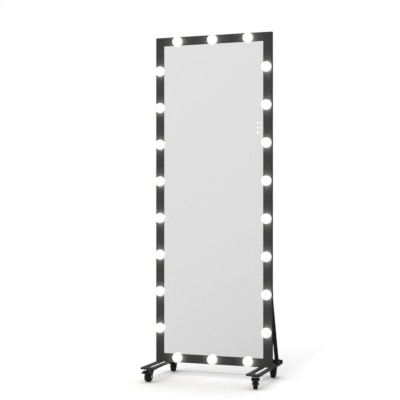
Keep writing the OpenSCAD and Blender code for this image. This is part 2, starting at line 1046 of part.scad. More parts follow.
// A bolt down through a plate and a tube's wall, with a nut on the wall's far side.
module wall_bolt(plate, wall) {
  translate([0, 0, plate])
    rotate([180, 0, 0])
      bolt(bolt_d, bolt_head_af, bolt_head_h, plate + wall + nut_h + 0.5);
  translate([0, 0, -wall - nut_h])
    nut(bolt_d, bolt_head_af, nut_h);
}

module stay_screws() {
  color(bright_zinc) {
    at_frame()
      at_stay_top_screws()
        translate([0, frame_d, 0])
          rotate([-90, 0, 0])
            wall_bolt(stay_t, sheet_t);
    at_stay_foot_screws()
      wall_bolt(stay_t, tube_t);
  }
}

// Bolts down through crossbar and tie, each with a nut under the tie.
module crossbar_bolts() {
  color(bright_zinc)
    at_crossbar_bolts()
      translate([0, 0, foot_top])
        wall_bolt(bar_h, bar_h);
}

// Bolts up through the plates, each with a nut inside its tube.
module caster_bolts() {
  color(dark_zinc)
    at_casters()
      at_plate_bolts()
        translate([0, 0, caster_h])
          rotate([180, 0, 0])
            wall_bolt(plate_t, tube_t);
}

// ---------------------------------------------------------------- casters

// Mounting plate: a flat plate with a pressed ring under it that hoods the balls.
module caster_plate(side, end) {
  corner_r = 4;
  hood_t = 1.5;
  hood_h = race_gap - side_gap;
  hood_d = fork_top_d - 1;
  color(dark_zinc)
    translate([side * foot_x, end * caster_y, 0])
      difference() {
        union() {
          translate([0, 0, plate_under])
            linear_extrude(plate_t)
              round_rect(plate_x, plate_y, corner_r);
          translate([0, 0, plate_under - hood_h])
            difference() {
              cylinder(d = hood_d, h = hood_h);
              translate([0, 0, -1])
                cylinder(d = hood_d - 2 * hood_t, h = hood_h + 1);
            }
        }
        ball_groove();
        translate([0, 0, plate_under - 1])
          cylinder(d = kingpin_d + 2 * running_gap, h = plate_t + 2);
        at_plate_bolts()
          translate([0, 0, plate_under - 1])
            cylinder(d = bolt_d + 2 * screw_gap, h = plate_t + 2);
      }
}

// The ring that the balls run in, a little wider than they are.
module ball_groove() {
  translate([0, 0, plate_under - race_gap / 2])
    rotate_extrude()
      translate([ball_circle_d / 2, 0])
        circle(d = ball_d + 2 * side_gap / 3);
}

module bearing_balls() {
  color(bright_zinc)
    at_casters()
      for (i = [0:ball_count - 1])
        rotate([0, 0, i * 360 / ball_count])
          translate([ball_circle_d / 2, 0, plate_under - race_gap / 2])
            sphere(d = ball_d);
}

// A rivet through plate and fork, headed above the plate and under the fork.
module kingpins() {
  head_d = kingpin_d + 6;
  head_h = 1.8;
  color(dark_zinc)
    at_casters() {
      translate([0, 0, fork_under - running_gap - head_h])
        cylinder(d = kingpin_d, h = caster_h - fork_under + running_gap + head_h);
      translate([0, 0, fork_under - 2 * running_gap - head_h])
        cylinder(d = head_d, h = head_h);
      translate([0, 0, caster_h])
        cylinder(d1 = head_d, d2 = kingpin_d, h = head_h);
    }
}

// Side view of a fork's leg: Y along the caster and Z up.
module leg_outline() {
  eye_r = 9;
  pivot_eye_r = 5;
  shoulder_r = 1;
  shoulder_z = fork_top - shoulder_r;
  shoulder_front_y = 13;
  shoulder_rear_y = -16;
  belt([
    [-trail, wheel_r, eye_r],
    [shoulder_front_y, shoulder_z, shoulder_r],
    [shoulder_rear_y, shoulder_z, shoulder_r],
    [pivot_y, pivot_z, pivot_eye_r],
  ], edge_tuck);
}

// Front view of a fork: a sheet folded down on both sides.
module fork_section() {
  bend_r = fork_t + 2.5;
  difference() {
    translate([0, fork_top / 2])
      round_rect(2 * leg_out, fork_top, bend_r);
    translate([0, fork_under / 2 - bend_r])
      round_rect(fork_gap, fork_under + 2 * bend_r, bend_r - fork_t);
    translate([-leg_out - 1, -1])
      square([2 * leg_out + 2, bend_r + 2]);
  }
}

// A stamped fork: folded sheet trimmed to the legs' outline, under a round top.
module fork(side, end, yaw) {
  color(dark_zinc)
    at_caster(side, end, yaw)
      difference() {
        union() {
          intersection() {
            translate([0, fork_top_d, 0])
              rotate([90, 0, 0])
                linear_extrude(3 * fork_top_d)
                  fork_section();
            section_across(2 * leg_out)
              leg_outline();
          }
          translate([0, 0, fork_under])
            cylinder(d = fork_top_d, h = fork_t);
        }
        ball_groove();
        translate([0, 0, fork_under - 1])
          cylinder(d = kingpin_d + 2 * running_gap, h = fork_t + 2);
        translate([0, -trail, wheel_r])
          rod_across(axle_d + 2 * running_gap, -leg_out - 1, leg_out + 1);
        translate([0, pivot_y, pivot_z])
          rod_across(2 * (pivot_r + running_gap), -leg_out - 1, leg_out + 1);
      }
}

// Half section of a wheel: radius on X, distance along the axle on Y.
module wheel_section() {
  rim_r = wheel_r - 7;
  hub_w = fork_gap - 2 * side_gap;
  web_w = 6;
  bore_r = axle_d / 2 + running_gap;
  translate([rim_r, -wheel_w / 2])
    square([wheel_r - tread_r - rim_r, wheel_w]);
  translate([rim_r, tread_r - wheel_w / 2])
    square([wheel_r - rim_r, wheel_w - 2 * tread_r]);
  for (y = [-1, 1])
    translate([wheel_r - tread_r, y * (wheel_w / 2 - tread_r)])
      circle(tread_r);
  translate([bore_r, -web_w / 2])
    square([rim_r - bore_r + 1, web_w]);
  translate([bore_r, -hub_w / 2])
    square([hub_r - bore_r, hub_w]);
}

// A wheel with ribs between hub and rim on both sides of its web.
module wheel(side, end, yaw) {
  ribs = 6;
  rib_t = 1.6;
  rib_w = wheel_w - 3;
  rib_from = hub_r - 0.5;
  rib_to = wheel_r - 6.5;
  color(black)
    at_caster(side, end, yaw)
      translate([0, -trail, wheel_r])
        rotate([0, 90, 0]) {
          rotate_extrude()
            wheel_section();
          for (i = [0:ribs - 1])
            rotate([0, 0, i * 360 / ribs])
              translate([rib_from, -rib_t / 2, -rib_w / 2])
                cube([rib_to - rib_from, rib_t, rib_w]);
        }
}

// A bolt through legs and wheel, with its nut.
module axle(side, end, yaw) {
  head_h = 2.2;
  color(bright_zinc)
    at_caster(side, end, yaw)
      translate([0, -trail, wheel_r]) {
        rod_across(axle_d, -leg_out - 1, leg_out + head_h + 1);
        rod_across(axle_d + 5, -leg_out - head_h, -leg_out);
        translate([leg_out, 0, 0])
          rotate([0, 90, 0])
            cylinder(d = (axle_d + 4) / cos(30), h = head_h, $fn = 6);
      }
}

// Height of the middle of a pedal's tread at a place y behind the swivel axis.
function tread_z(y) = pedal_z - (pedal_y - y) * tan(pedal_slope);

// Side view of a brake pedal's tread, sloping down away from the fork.
module pedal_tread_outline() {
  half = pedal_t / 2;
  far_y = pedal_y - pedal_l;
  far_z = tread_z(far_y);
  belt([[pedal_y, pedal_z, half], [far_y, far_z, half]], edge_tuck);
  belt([[far_y, far_z, half], [far_y - 1.5, far_z - 3, half]], edge_tuck);
}

// Side view of the flange turned down along a side of the tread.
module pedal_flange_outline() {
  flange_h = 4;
  near_y = pedal_y - 6;
  far_y = pedal_y - pedal_l + 2;
  polygon([
    [near_y, tread_z(near_y)],
    [far_y, tread_z(far_y)],
    [far_y, tread_z(far_y) - flange_h],
    [near_y - flange_h / 2, tread_z(near_y) - flange_h],
  ]);
}

// Side view of a pedal's ear, from the tread down to the pivot.
module pedal_ear_outline() {
  ear_r = 4.5;
  ear_l = 9;
  corner_r = pedal_t / 4;
  far_y = pedal_y - ear_l;
  belt([
    [pivot_y, pivot_z, ear_r],
    [pedal_y, pedal_z, corner_r],
    [far_y, tread_z(far_y), corner_r],
  ], edge_tuck);
}

// The block under a pedal that presses on the tyre, hollowed to fit it when locked.
module brake_shoe() {
  shoe_gap = 0.4;
  shoe_w = wheel_w - 2;
  near_y = pivot_y - 5;
  far_y = near_y - 7;
  difference() {
    section_across(shoe_w)
      polygon([
        [near_y, pivot_z],
        [near_y, tread_z(near_y)],
        [far_y, tread_z(far_y)],
        [far_y, pivot_z],
      ]);
    translate([0, pivot_y, pivot_z])
      rotate([-pedal_travel, 0, 0])
        translate([0, -trail - pivot_y, wheel_r - pivot_z])
          rod_across(wheel_d + 2 * shoe_gap, -wheel_w, wheel_w);
  }
}

// A pressed pedal whose ears straddle the fork and turn on stubs in its legs.
module pedal(side, end, yaw) {
  inner = leg_out + side_gap;
  outer = inner + pedal_t;
  color(dark_zinc)
    at_caster(side, end, yaw) {
      section_across(pedal_w)
        pedal_tread_outline();
      for (s = [-1, 1]) {
        translate([s * (pedal_w - pedal_t) / 2, 0, 0])
          section_across(pedal_t)
            pedal_flange_outline();
        translate([s * (inner + outer) / 2, 0, 0])
          section_across(pedal_t)
            pedal_ear_outline();
        translate([0, pivot_y, pivot_z])
          scale([s, 1, 1])
            rod_across(2 * pivot_r, fork_gap / 2 + side_gap, inner + 0.5);
      }
      brake_shoe();
    }
}

module front_left_plate() {
  caster_plate(-1, -1);
}

module front_left_fork() {
  fork(-1, -1, yaw_front_left);
}

module front_left_wheel() {
  wheel(-1, -1, yaw_front_left);
}

module front_left_axle() {
  axle(-1, -1, yaw_front_left);
}

module front_left_pedal() {
  pedal(-1, -1, yaw_front_left);
}

module front_right_plate() {
  caster_plate(1, -1);
}

module front_right_fork() {
  fork(1, -1, yaw_front_right);
}

module front_right_wheel() {
  wheel(1, -1, yaw_front_right);
}

module front_right_axle() {
  axle(1, -1, yaw_front_right);
}

module front_right_pedal() {
  pedal(1, -1, yaw_front_right);
}

module rear_left_plate() {
  caster_plate(-1, 1);
}

module rear_left_fork() {
  fork(-1, 1, yaw_rear_left);
}

module rear_left_wheel() {
  wheel(-1, 1, yaw_rear_left);
}

module rear_left_axle() {
  axle(-1, 1, yaw_rear_left);
}

module rear_left_pedal() {
  pedal(-1, 1, yaw_rear_left);
}

module rear_right_plate() {
  caster_plate(1, 1);
}

module rear_right_fork() {
  fork(1, 1, yaw_rear_right);
}

module rear_right_wheel() {
  wheel(1, 1, yaw_rear_right);
}

module rear_right_axle() {
  axle(1, 1, yaw_rear_right);
}

module rear_right_pedal() {
  pedal(1, 1, yaw_rear_right);
}

// ---------------------------------------------------------------- the part

left_stile();
right_stile();
top_rail();
bottom_rail();
corner_brackets();
mirror_glass();
glass_tape();
backing_board();
rear_cover();
frame_screws();
left_globes();
right_globes();
top_globes();
bottom_globes();
lamp_bases();
lamp_led_boards();
lamp_holders();
wiring_loom();
touch_board();
dimmer_box();
power_inlet();
inlet_nut();
left_outer_bar();
left_inner_bar();
left_front_tie();
left_rear_tie();
right_outer_bar();
right_inner_bar();
right_front_tie();
right_rear_tie();
rear_crossbar();
tube_caps();
left_stay();
right_stay();
frame_bolts();
stay_screws();
crossbar_bolts();
caster_bolts();
kingpins();
bearing_balls();
front_left_plate();
front_left_fork();
front_left_wheel();
front_left_axle();
front_left_pedal();
front_right_plate();
front_right_fork();
front_right_wheel();
front_right_axle();
front_right_pedal();
rear_left_plate();
rear_left_fork();
rear_left_wheel();
rear_left_axle();
rear_left_pedal();
rear_right_plate();
rear_right_fork();
rear_right_wheel();
rear_right_axle();
rear_right_pedal();
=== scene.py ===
"""Looks of a rolling floor mirror with round lamps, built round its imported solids.

The solids come from the frame and stay as they are. This script gives each of them a
finish, adds the detail that they leave out (touch symbols, weld beads, wheels with a
moulded hub, ridges on the brake pedals), and sets up a plain studio with the camera of
the photograph. Everything is in metres: X runs across the mirror, -Y is its front, +Z is
up, and the origin lies on the floor under the middle of the base.
"""

import logging
import math
from dataclasses import dataclass, field, replace
from enum import Enum
from itertools import product

import bpy
import numpy as np
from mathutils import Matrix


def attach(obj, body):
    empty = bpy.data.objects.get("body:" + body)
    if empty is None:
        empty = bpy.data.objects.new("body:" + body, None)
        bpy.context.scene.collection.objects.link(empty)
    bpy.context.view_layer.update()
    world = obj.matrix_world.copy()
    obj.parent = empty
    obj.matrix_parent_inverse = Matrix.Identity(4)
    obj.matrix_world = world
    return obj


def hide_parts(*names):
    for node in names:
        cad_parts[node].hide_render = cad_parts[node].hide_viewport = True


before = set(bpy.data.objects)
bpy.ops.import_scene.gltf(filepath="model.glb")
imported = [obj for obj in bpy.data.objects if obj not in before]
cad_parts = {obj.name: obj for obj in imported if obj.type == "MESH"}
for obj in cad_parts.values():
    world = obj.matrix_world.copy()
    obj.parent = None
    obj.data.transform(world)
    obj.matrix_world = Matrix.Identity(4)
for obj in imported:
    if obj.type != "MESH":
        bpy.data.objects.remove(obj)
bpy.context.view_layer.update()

log = logging.getLogger("floor_mirror")

Rgb = tuple[float, float, float]
Point = tuple[float, float, float]
Span = tuple[float, float]
Material = bpy.types.Material
# Points, one row each, and faces as lists of point numbers.
Patch = tuple[np.ndarray, list[list[int]]]

MM = 0.001
X_AXIS, Y_AXIS, Z_AXIS = np.eye(3)

# -------------------- shader nodes


@dataclass(frozen=True)
class Wire:
    """A number that a node puts out, which ordinary operators combine."""

    sheet: "Sheet"
    socket: bpy.types.NodeSocket

    def maths(self, operation: str, *others: "Wire | float") -> "Wire":
        """What a Math node makes of this value and the others, in that order."""
        terms = dict(enumerate((self, *others)))
        return self.sheet.wire("Math", {"operation": operation}, terms)

    def __add__(self, other: "Wire | float") -> "Wire":
        """The sum of two values."""
        return self.maths("ADD", other)

    __radd__ = __add__

    def __sub__(self, other: "Wire | float") -> "Wire":
        """This value less another."""
        return self.maths("SUBTRACT", other)

    def __rsub__(self, other: float) -> "Wire":
        """A number less this value."""
        return self.maths("MULTIPLY_ADD", -1.0, other)

    def __mul__(self, other: "Wire | float") -> "Wire":
        """The product of two values."""
        return self.maths("MULTIPLY", other)

    __rmul__ = __mul__

    def __pow__(self, other: float) -> "Wire":
        """This value to a power."""
        return self.maths("POWER", other)

    def __abs__(self) -> "Wire":
        """This value without its sign."""
        return self.maths("ABSOLUTE")

    def step(self, low: float, high: float) -> "Wire":
        """Rises smoothly from 0 where this value is low to 1 where it is high."""
        levels = {"Value": self, "From Min": low, "From Max": high}
        return self.sheet.wire("MapRange", {"interpolation_type": "SMOOTHSTEP"}, levels)


class Sheet:
    """The node tree of one material or of the world."""

    def __init__(self, tree: bpy.types.NodeTree) -> None:
        """Empties a node tree, which is then filled."""
        self.tree = tree
        tree.nodes.clear()

    def node(
        self, kind: str, settings: dict | None = None, inputs: dict | None = None
    ) -> bpy.types.Node:
        """Adds a node.

        Args:
            kind: the node's type name, without ShaderNode.
            settings: its properties, which are set first.
            inputs: values or wires for its sockets, by name or number.

        Returns:
            The node.
        """
        made = self.tree.nodes.new(f"ShaderNode{kind}")
        for name, value in (settings or {}).items():
            setattr(made, name, value)
        for name, value in (inputs or {}).items():
            if isinstance(value, Wire):
                self.tree.links.new(value.socket, made.inputs[name])
            else:
                made.inputs[name].default_value = value
        return made

    def wire(
        self,
        kind: str,
        settings: dict | None = None,
        inputs: dict | None = None,
        output: int | str = 0,
    ) -> Wire:
        """Adds a node, as node does, and takes the output of that name or number."""
        return Wire(self, self.node(kind, settings, inputs).outputs[output])

    def coordinates(self, kind: str = "Object") -> Wire:
        """Coordinates of one kind: Object in metres, or Generated, a sky's direction."""
        return self.wire("TexCoord", output=kind)

    def axes(self, kind: str = "Object") -> tuple[Wire, Wire, Wire]:
        """X, Y and Z of the coordinates of one kind."""
        split = self.node("SeparateXYZ", inputs={0: self.coordinates(kind)})
        return tuple(Wire(self, split.outputs[i]) for i in range(3))

    def blend(self, share: Wire | float, low: Wire | Rgb, high: Wire | Rgb) -> Wire:
        """Mixes two colours.

        Args:
            share: 0 for the first colour, 1 for the second.
            low: the first colour.
            high: the second colour.

        Returns:
            The mixed colour.
        """
        first, second = (c if isinstance(c, Wire) else (*c, 1.0) for c in (low, high))
        inputs = {0: share, 6: first, 7: second}
        return self.wire("Mix", {"data_type": "RGBA"}, inputs, output=2)

    def shade(self, pattern: Wire, color: Rgb, swing: float) -> Wire:
        """A colour that a pattern darkens at 0 and lightens at 1, by a share of it."""
        return self.blend(pattern, tinted(color, 1 - swing), tinted(color, 1 + swing))


class Pattern(Enum):
    """The patterns of a mottle, by the node that draws them."""

    CLOUDS = "TexNoise"
    CELLS = "TexVoronoi"


@dataclass(frozen=True)
class Mottle:
    """Clouds between 0 and 1, or cells that grow from 0 in their middles.

    size is that of a lump or a cell, detail the number of finer layers, and stretch the
    factors along X, Y and Z. With a span, the mottle grows from 0 to 1 between those two
    levels of the pattern. swing is how far it moves the roughness.
    """

    size: float
    detail: float = 2.0
    swing: float = 0.0
    span: Span | None = None
    stretch: Point = (1.0, 1.0, 1.0)
    pattern: Pattern = Pattern.CLOUDS

    def on(self, sheet: Sheet) -> Wire:
        """The mottle on a material.

        Args:
            sheet: the material's node tree.

        Returns:
            The mottle.
        """
        at = sheet.wire(
            "Mapping", inputs={"Vector": sheet.coordinates(), "Scale": self.stretch}
        )
        drawn = sheet.wire(
            self.pattern.value,
            inputs={"Vector": at, "Scale": 1 / self.size, "Detail": self.detail},
        )
        return drawn.step(*self.span) if self.span else drawn

    def gloss(self, drawn: Wire) -> Wire:
        """What the mottle adds to the roughness; without a span it swings about 0."""
        return (drawn if self.span else drawn - 0.5) * self.swing


@dataclass
class Skin:
    """What changes over a surface. What is None stays uniform."""

    color: Wire | None = None
    roughness: Wire | None = None
    emission: Wire | None = None
    height: Wire | None = None


def tinted(color: Rgb, factor: float) -> Rgb:
    """A colour made lighter or darker by a factor."""
    return tuple(min(1.0, channel * factor) for channel in color)


# -------------------- finishes


@dataclass(frozen=True)
class Finish:
    """A finish of one material slot: even values here, uneven ones from skin."""

    slot: str
    color: Rgb
    roughness: float
    metallic: float = 0.0
    specular: float = 0.5
    coat: float = 0.0
    coat_roughness: float = 0.15
    relief: float = 0.0
    glow: float = 0.0

    def skin(self, sheet: Sheet) -> Skin:
        """What changes over the surface, which is nothing unless a finish says so."""
        return Skin()

    def material(self, name: str) -> Material:
        """Makes the finish a material.

        Args:
            name: the material's name.

        Returns:
            The material.
        """
        made = bpy.data.materials.new(name)
        made.use_nodes = True
        sheet = Sheet(made.node_tree)
        skin = self.skin(sheet)
        values = {
            "Base Color": skin.color or (*self.color, 1.0),
            "Roughness": skin.roughness or self.roughness,
            "Metallic": self.metallic,
            "Specular IOR Level": self.specular,
            "Coat Weight": self.coat,
            "Coat Roughness": self.coat_roughness,
            "Emission Strength": self.glow,
        }
        if self.glow:
            values["Emission Color"] = skin.emission or (*self.color, 1.0)
        if skin.height:
            values["Normal"] = sheet.wire(
                "Bump", inputs={"Distance": self.relief, "Height": skin.height}
            )
        surface = sheet.wire("BsdfPrincipled", inputs=values)
        sheet.node("OutputMaterial", inputs={"Surface": surface})
        made.diffuse_color = (*self.color, 1.0)
        return made


@dataclass(frozen=True)
class PowderCoat(Finish):
    """Baked powder paint: orange peel, a fine speckle and slow clouds of gloss.

    Where the frame's bars meet in their mitres it has sunk into a hairline.
    """

    peel: Mottle = Mottle(1.8 * MM, 1.0)
    peel_share: float = 0.7
    speckle: Mottle = Mottle(0.35 * MM, 1.0, swing=0.12)
    speckle_share: float = 0.55
    cloud: Mottle = Mottle(90 * MM, 3.0, swing=0.08)
    color_swing: float = 0.22
    seam_span: Span = (0.15 * MM, 0.6 * MM)
    seam_depth: float = 4.0
    middle_z: float = 872 * MM
    half_h: float = 800 * MM
    half_w: float = 297.5 * MM
    back_span: Span = (19.5 * MM, 20.5 * MM)

    def skin(self, sheet: Sheet) -> Skin:
        """Orange peel in the bump, speckle and clouds in colour and roughness.

        A point lies on a mitre where its distances from the frame's two outer edges are
        the same.

        Args:
            sheet: the material's node tree.

        Returns:
            The uneven values.
        """
        x, y, z = sheet.axes()
        off = abs(x) - abs(z - self.middle_z) + (self.half_h - self.half_w)
        seam = (1 - abs(off).step(*self.seam_span)) * (1 - y.step(*self.back_span))
        speckle, cloud = self.speckle.on(sheet), self.cloud.on(sheet)
        tone = speckle * self.speckle_share + cloud * (1 - self.speckle_share)
        peel = self.peel.on(sheet) * self.peel_share + speckle * (1 - self.peel_share)
        gloss = self.speckle.gloss(speckle) + self.cloud.gloss(cloud)
        return Skin(
            color=sheet.shade(tone - seam, self.color, self.color_swing),
            roughness=self.roughness + gloss,
            height=peel - seam * self.seam_depth,
        )


@dataclass(frozen=True)
class Silvering(Finish):
    """Silvered glass: nearly clear, with the faintest breath of haze."""

    haze: Mottle = Mottle(140 * MM, 4.0, swing=0.012, span=(0.45, 0.8))
    edge_span: Span = (258.5 * MM, 261.5 * MM)
    edge_color: Rgb = (0.50, 0.62, 0.56)

    def skin(self, sheet: Sheet) -> Skin:
        """Slow clouds of haze in the roughness, and a trace of green at the edges.

        Args:
            sheet: the material's node tree.

        Returns:
            The uneven values.
        """
        x, _, _ = sheet.axes()
        return Skin(
            color=sheet.blend(abs(x).step(*self.edge_span), self.color, self.edge_color),
            roughness=self.roughness + self.haze.gloss(self.haze.on(sheet)),
        )


@dataclass(frozen=True)
class OpalGlow(Finish):
    """Opal plastic lit from inside, brightest where it faces away from its base."""

    light: Rgb = (1.0, 0.98, 0.93)
    foot_share: float = 0.92
    face_y: float = -2.5 * MM
    dome: float = 33 * MM
    dome_span: Span = (-0.1, 0.8)
    grain: Mottle = Mottle(0.8 * MM, 1.0, swing=0.05)

    def skin(self, sheet: Sheet) -> Skin:
        """Light that fades a little towards the dome's foot.

        Args:
            sheet: the material's node tree.

        Returns:
            The uneven values.
        """
        _, y, _ = sheet.axes()
        ahead = ((self.face_y - y) * (1 / self.dome)).step(*self.dome_span)
        grain = self.grain.on(sheet)
        return Skin(
            emission=sheet.blend(ahead, tinted(self.light, self.foot_share), self.light),
            roughness=self.roughness + self.grain.gloss(grain),
            height=grain,
        )


@dataclass(frozen=True)
class MouldedPlastic(Finish):
    """Spark-eroded plastic: a fine pebble that breaks up the gloss."""

    pebble: Mottle = Mottle(0.5 * MM, 0.0, pattern=Pattern.CELLS)
    cloud: Mottle = Mottle(14 * MM, 3.0, swing=0.14)
    color_swing: float = 0.1

    def skin(self, sheet: Sheet) -> Skin:
        """Pebble in the bump, and flow clouds in colour and roughness.

        Args:
            sheet: the material's node tree.

        Returns:
            The uneven values.
        """
        cloud = self.cloud.on(sheet)
        return Skin(
            color=sheet.shade(cloud, self.color, self.color_swing),
            roughness=self.roughness + self.cloud.gloss(cloud),
            height=1 - self.pebble.on(sheet),
        )


@dataclass(frozen=True)
class Mottled(Finish):
    """A fine grain in the bump, and tones, spots or both in the colour.

    The tones are the colour's factors where the grain is 0 and where it is 1: the
    grain's own tone, or painted shade where its low places stand for hollows.
    """

    grain: Mottle = Mottle(MM)
    grain_tones_and_shade: Span | None = None
    spots: Mottle | None = None
    spots_share: float = 1.0
    spots_color: Rgb = (0.0, 0.0, 0.0)

    def skin(self, sheet: Sheet) -> Skin:
        """Grain in bump, colour and roughness, then spots in colour and roughness.

        Args:
            sheet: the material's node tree.

        Returns:
            The uneven values.
        """
        grain = self.grain.on(sheet)
        color, gloss = self.color, self.grain.gloss(grain)
        if self.grain_tones_and_shade:
            # Where the grain's low places are hollows, as the foam tape's pores are, this
            # darkening is painted shade.
            color = sheet.blend(grain, *(tinted(color, tone) for tone in self.grain_tones_and_shade))
        if self.spots:
            spots = self.spots.on(sheet)
            color = sheet.blend(spots * self.spots_share, color, self.spots_color)
            gloss = gloss + self.spots.gloss(spots)
        return Skin(color=color, roughness=self.roughness + gloss, height=grain)


@dataclass(frozen=True)
class SolderResist(Finish):
    """Lacquered circuit board: copper tracks show as raised, lighter lines."""

    pitch: float = 2.4 * MM
    waver: Mottle = Mottle(9 * MM, 1.0)
    waver_pitches: float = 2.5
    tracks_span: Span = (0.1, 0.4)
    tracks_swing: float = 0.06
    tracks_color: Rgb = (0.09, 0.3, 0.16)

    def skin(self, sheet: Sheet) -> Skin:
        """Tracks in bump and colour, on a wavering grid.

        Args:
            sheet: the material's node tree.

        Returns:
            The uneven values.
        """
        x, _, z = sheet.axes()
        waver = self.waver.on(sheet) * (self.waver_pitches * self.pitch)
        turn = (x + z + waver) * (2 * math.pi / self.pitch)
        tracks = turn.maths("SINE").step(*self.tracks_span)
        return Skin(
            color=sheet.blend(tracks, self.color, self.tracks_color),
            roughness=self.roughness + tracks * self.tracks_swing,
            height=tracks,
        )


@dataclass(frozen=True)
class TyreRubber(Finish):
    """Hard polyurethane: satin sides, and a tread that floor dust has dulled."""

    grain: Mottle = Mottle(0.6 * MM, swing=0.08)
    dust: Mottle = Mottle(5 * MM, 4.0, swing=0.25, span=(0.35, 0.7))
    dust_least: float = 0.35
    dust_color: Rgb = (0.03, 0.029, 0.028)

    def skin(self, sheet: Sheet) -> Skin:
        """Dust from the piece's own tread attribute, over a fine moulded grain.

        Args:
            sheet: the material's node tree.

        Returns:
            The uneven values.
        """
        tread = sheet.wire("Attribute", {"attribute_name": "tread"}, output="Fac")
        grain, patches = self.grain.on(sheet), self.dust.on(sheet)
        dulled = tread * (self.dust_least + patches * (1 - self.dust_least))
        gloss = self.grain.gloss(grain) + self.dust.gloss(dulled)
        return Skin(
            color=sheet.blend(dulled, self.color, self.dust_color),
            roughness=self.roughness + gloss,
            height=grain,
        )


POWDER = PowderCoat(
    "powder_coat", (0.055, 0.055, 0.0555), 0.55, specular=0.12, relief=0.05 * MM
)
COVER = PowderCoat(
    "cover_paint",
    (0.018, 0.018, 0.018),
    0.62,
    specular=0.35,
    relief=0.06 * MM,
    peel=Mottle(0.9 * MM, 1.0),
)
SILVER = Silvering("mirror_silver", (0.764, 0.764, 0.764), 0.012, metallic=1.0)
# Closed-cell foam: small round pores, painted darker than their walls as shade in the
# hollows.
TAPE = Mottled(
    "foam_tape",
    (0.02, 0.02, 0.02),
    0.9,
    relief=0.1 * MM,
    grain=Mottle(0.4 * MM, 0.0, -0.08, (0.1, 0.45), pattern=Pattern.CELLS),
    grain_tones_and_shade=(0.4, 1.0),
)
# Pressed brown fibre: short matted strands and darker flecks.
BOARD = Mottled(
    "backing_board",
    (0.30, 0.19, 0.105),
    0.8,
    relief=0.08 * MM,
    grain=Mottle(1.2 * MM, 4.0, 0.15, stretch=(1.0, 1.0, 0.3)),
    grain_tones_and_shade=(0.75, 1.2),
    spots=Mottle(2.5 * MM, 3.0, 0.0, (0.55, 0.7)),
    spots_share=0.6,
    spots_color=(0.16, 0.1, 0.055),
)
OPAL = OpalGlow(
    "opal_globe", (0.5, 0.495, 0.475), 0.3, coat=0.2, relief=0.01 * MM, glow=0.8
)
SOCKET = MouldedPlastic("white_plastic", (0.80, 0.78, 0.73), 0.45, relief=0.02 * MM)
LED_BOARD = SolderResist(
    "lamp_board",
    (0.82, 0.82, 0.79),
    0.4,
    relief=0.03 * MM,
    tracks_color=(0.74, 0.74, 0.70),
)
CIRCUIT = SolderResist("circuit_board", (0.02, 0.13, 0.06), 0.35, relief=0.03 * MM)
CASING = MouldedPlastic("black_plastic", (0.016, 0.016, 0.017), 0.42, relief=0.02 * MM)
SHEATH = MouldedPlastic("cable_sheath", (0.014, 0.014, 0.014), 0.5, relief=0.01 * MM)
# Plated steel: fine drawn lines and dull blooms.
ZINC = Mottled(
    "bright_zinc",
    (0.60, 0.60, 0.61),
    0.26,
    metallic=1.0,
    relief=0.01 * MM,
    grain=Mottle(0.15 * MM, swing=0.1, stretch=(1.0, 1.0, 0.08)),
    spots=Mottle(3 * MM, 4.0, 0.22, (0.48, 0.72)),
    spots_color=(0.42, 0.42, 0.43),
)
DARK_ZINC = replace(
    ZINC,
    slot="dark_zinc",
    color=(0.07, 0.07, 0.075),
    roughness=0.34,
    metallic=0.7,
    spots_color=(0.035, 0.035, 0.036),
)
# Pressed steel, stoved black: press marks, and a few spots that are rubbed lighter.
CASTER_STEEL = Mottled(
    "caster_steel",
    (0.008, 0.008, 0.0082),
    0.3,
    specular=0.22,
    relief=0.03 * MM,
    grain=Mottle(2.2 * MM, 3.0, 0.2),
    spots=Mottle(6 * MM, 5.0, 0.1, (0.6, 0.78)),
    spots_color=(0.09, 0.09, 0.092),
)
NYLON = MouldedPlastic("caster_wheel", (0.05, 0.05, 0.0515), 0.34, relief=0.02 * MM)
TYRE = TyreRubber(
    "caster_wheel", (0.006, 0.006, 0.006), 0.42, specular=0.18, relief=0.015 * MM
)
SYMBOL = Finish("lamp_board", (1.0, 1.0, 1.0), 0.4, glow=0.8)

CAD_FINISHES: dict[Finish, tuple[str, ...]] = {
    POWDER: (
        "left_stile", "right_stile", "top_rail", "bottom_rail",
        "left_outer_bar", "left_inner_bar", "left_front_tie", "left_rear_tie",
        "right_outer_bar", "right_inner_bar", "right_front_tie", "right_rear_tie",
        "rear_crossbar", "left_stay", "right_stay",
    ),
    COVER: ("rear_cover",),
    SILVER: ("mirror_glass",),
    TAPE: ("glass_tape",),
    BOARD: ("backing_board",),
    OPAL: ("left_globes", "right_globes", "top_globes", "bottom_globes"),
    SOCKET: ("lamp_bases", "lamp_holders"),
    LED_BOARD: ("lamp_led_boards",),
    CIRCUIT: ("touch_board",),
    CASING: ("dimmer_box", "tube_caps"),
    SHEATH: ("wiring_loom",),
    ZINC: (
        "power_inlet", "inlet_nut", "frame_bolts", "stay_screws", "crossbar_bolts",
        "bearing_balls",
    ),
    DARK_ZINC: ("corner_brackets", "frame_screws", "caster_bolts", "kingpins"),
}

# -------------------- meshes


def add_object(name: str, data: bpy.types.ID) -> bpy.types.Object:
    """Puts a new object in the scene.

    Args:
        name: its name.
        data: its mesh, lamp or camera.

    Returns:
        The object.
    """
    made = bpy.data.objects.new(name, data)
    bpy.context.scene.collection.objects.link(made)
    return made


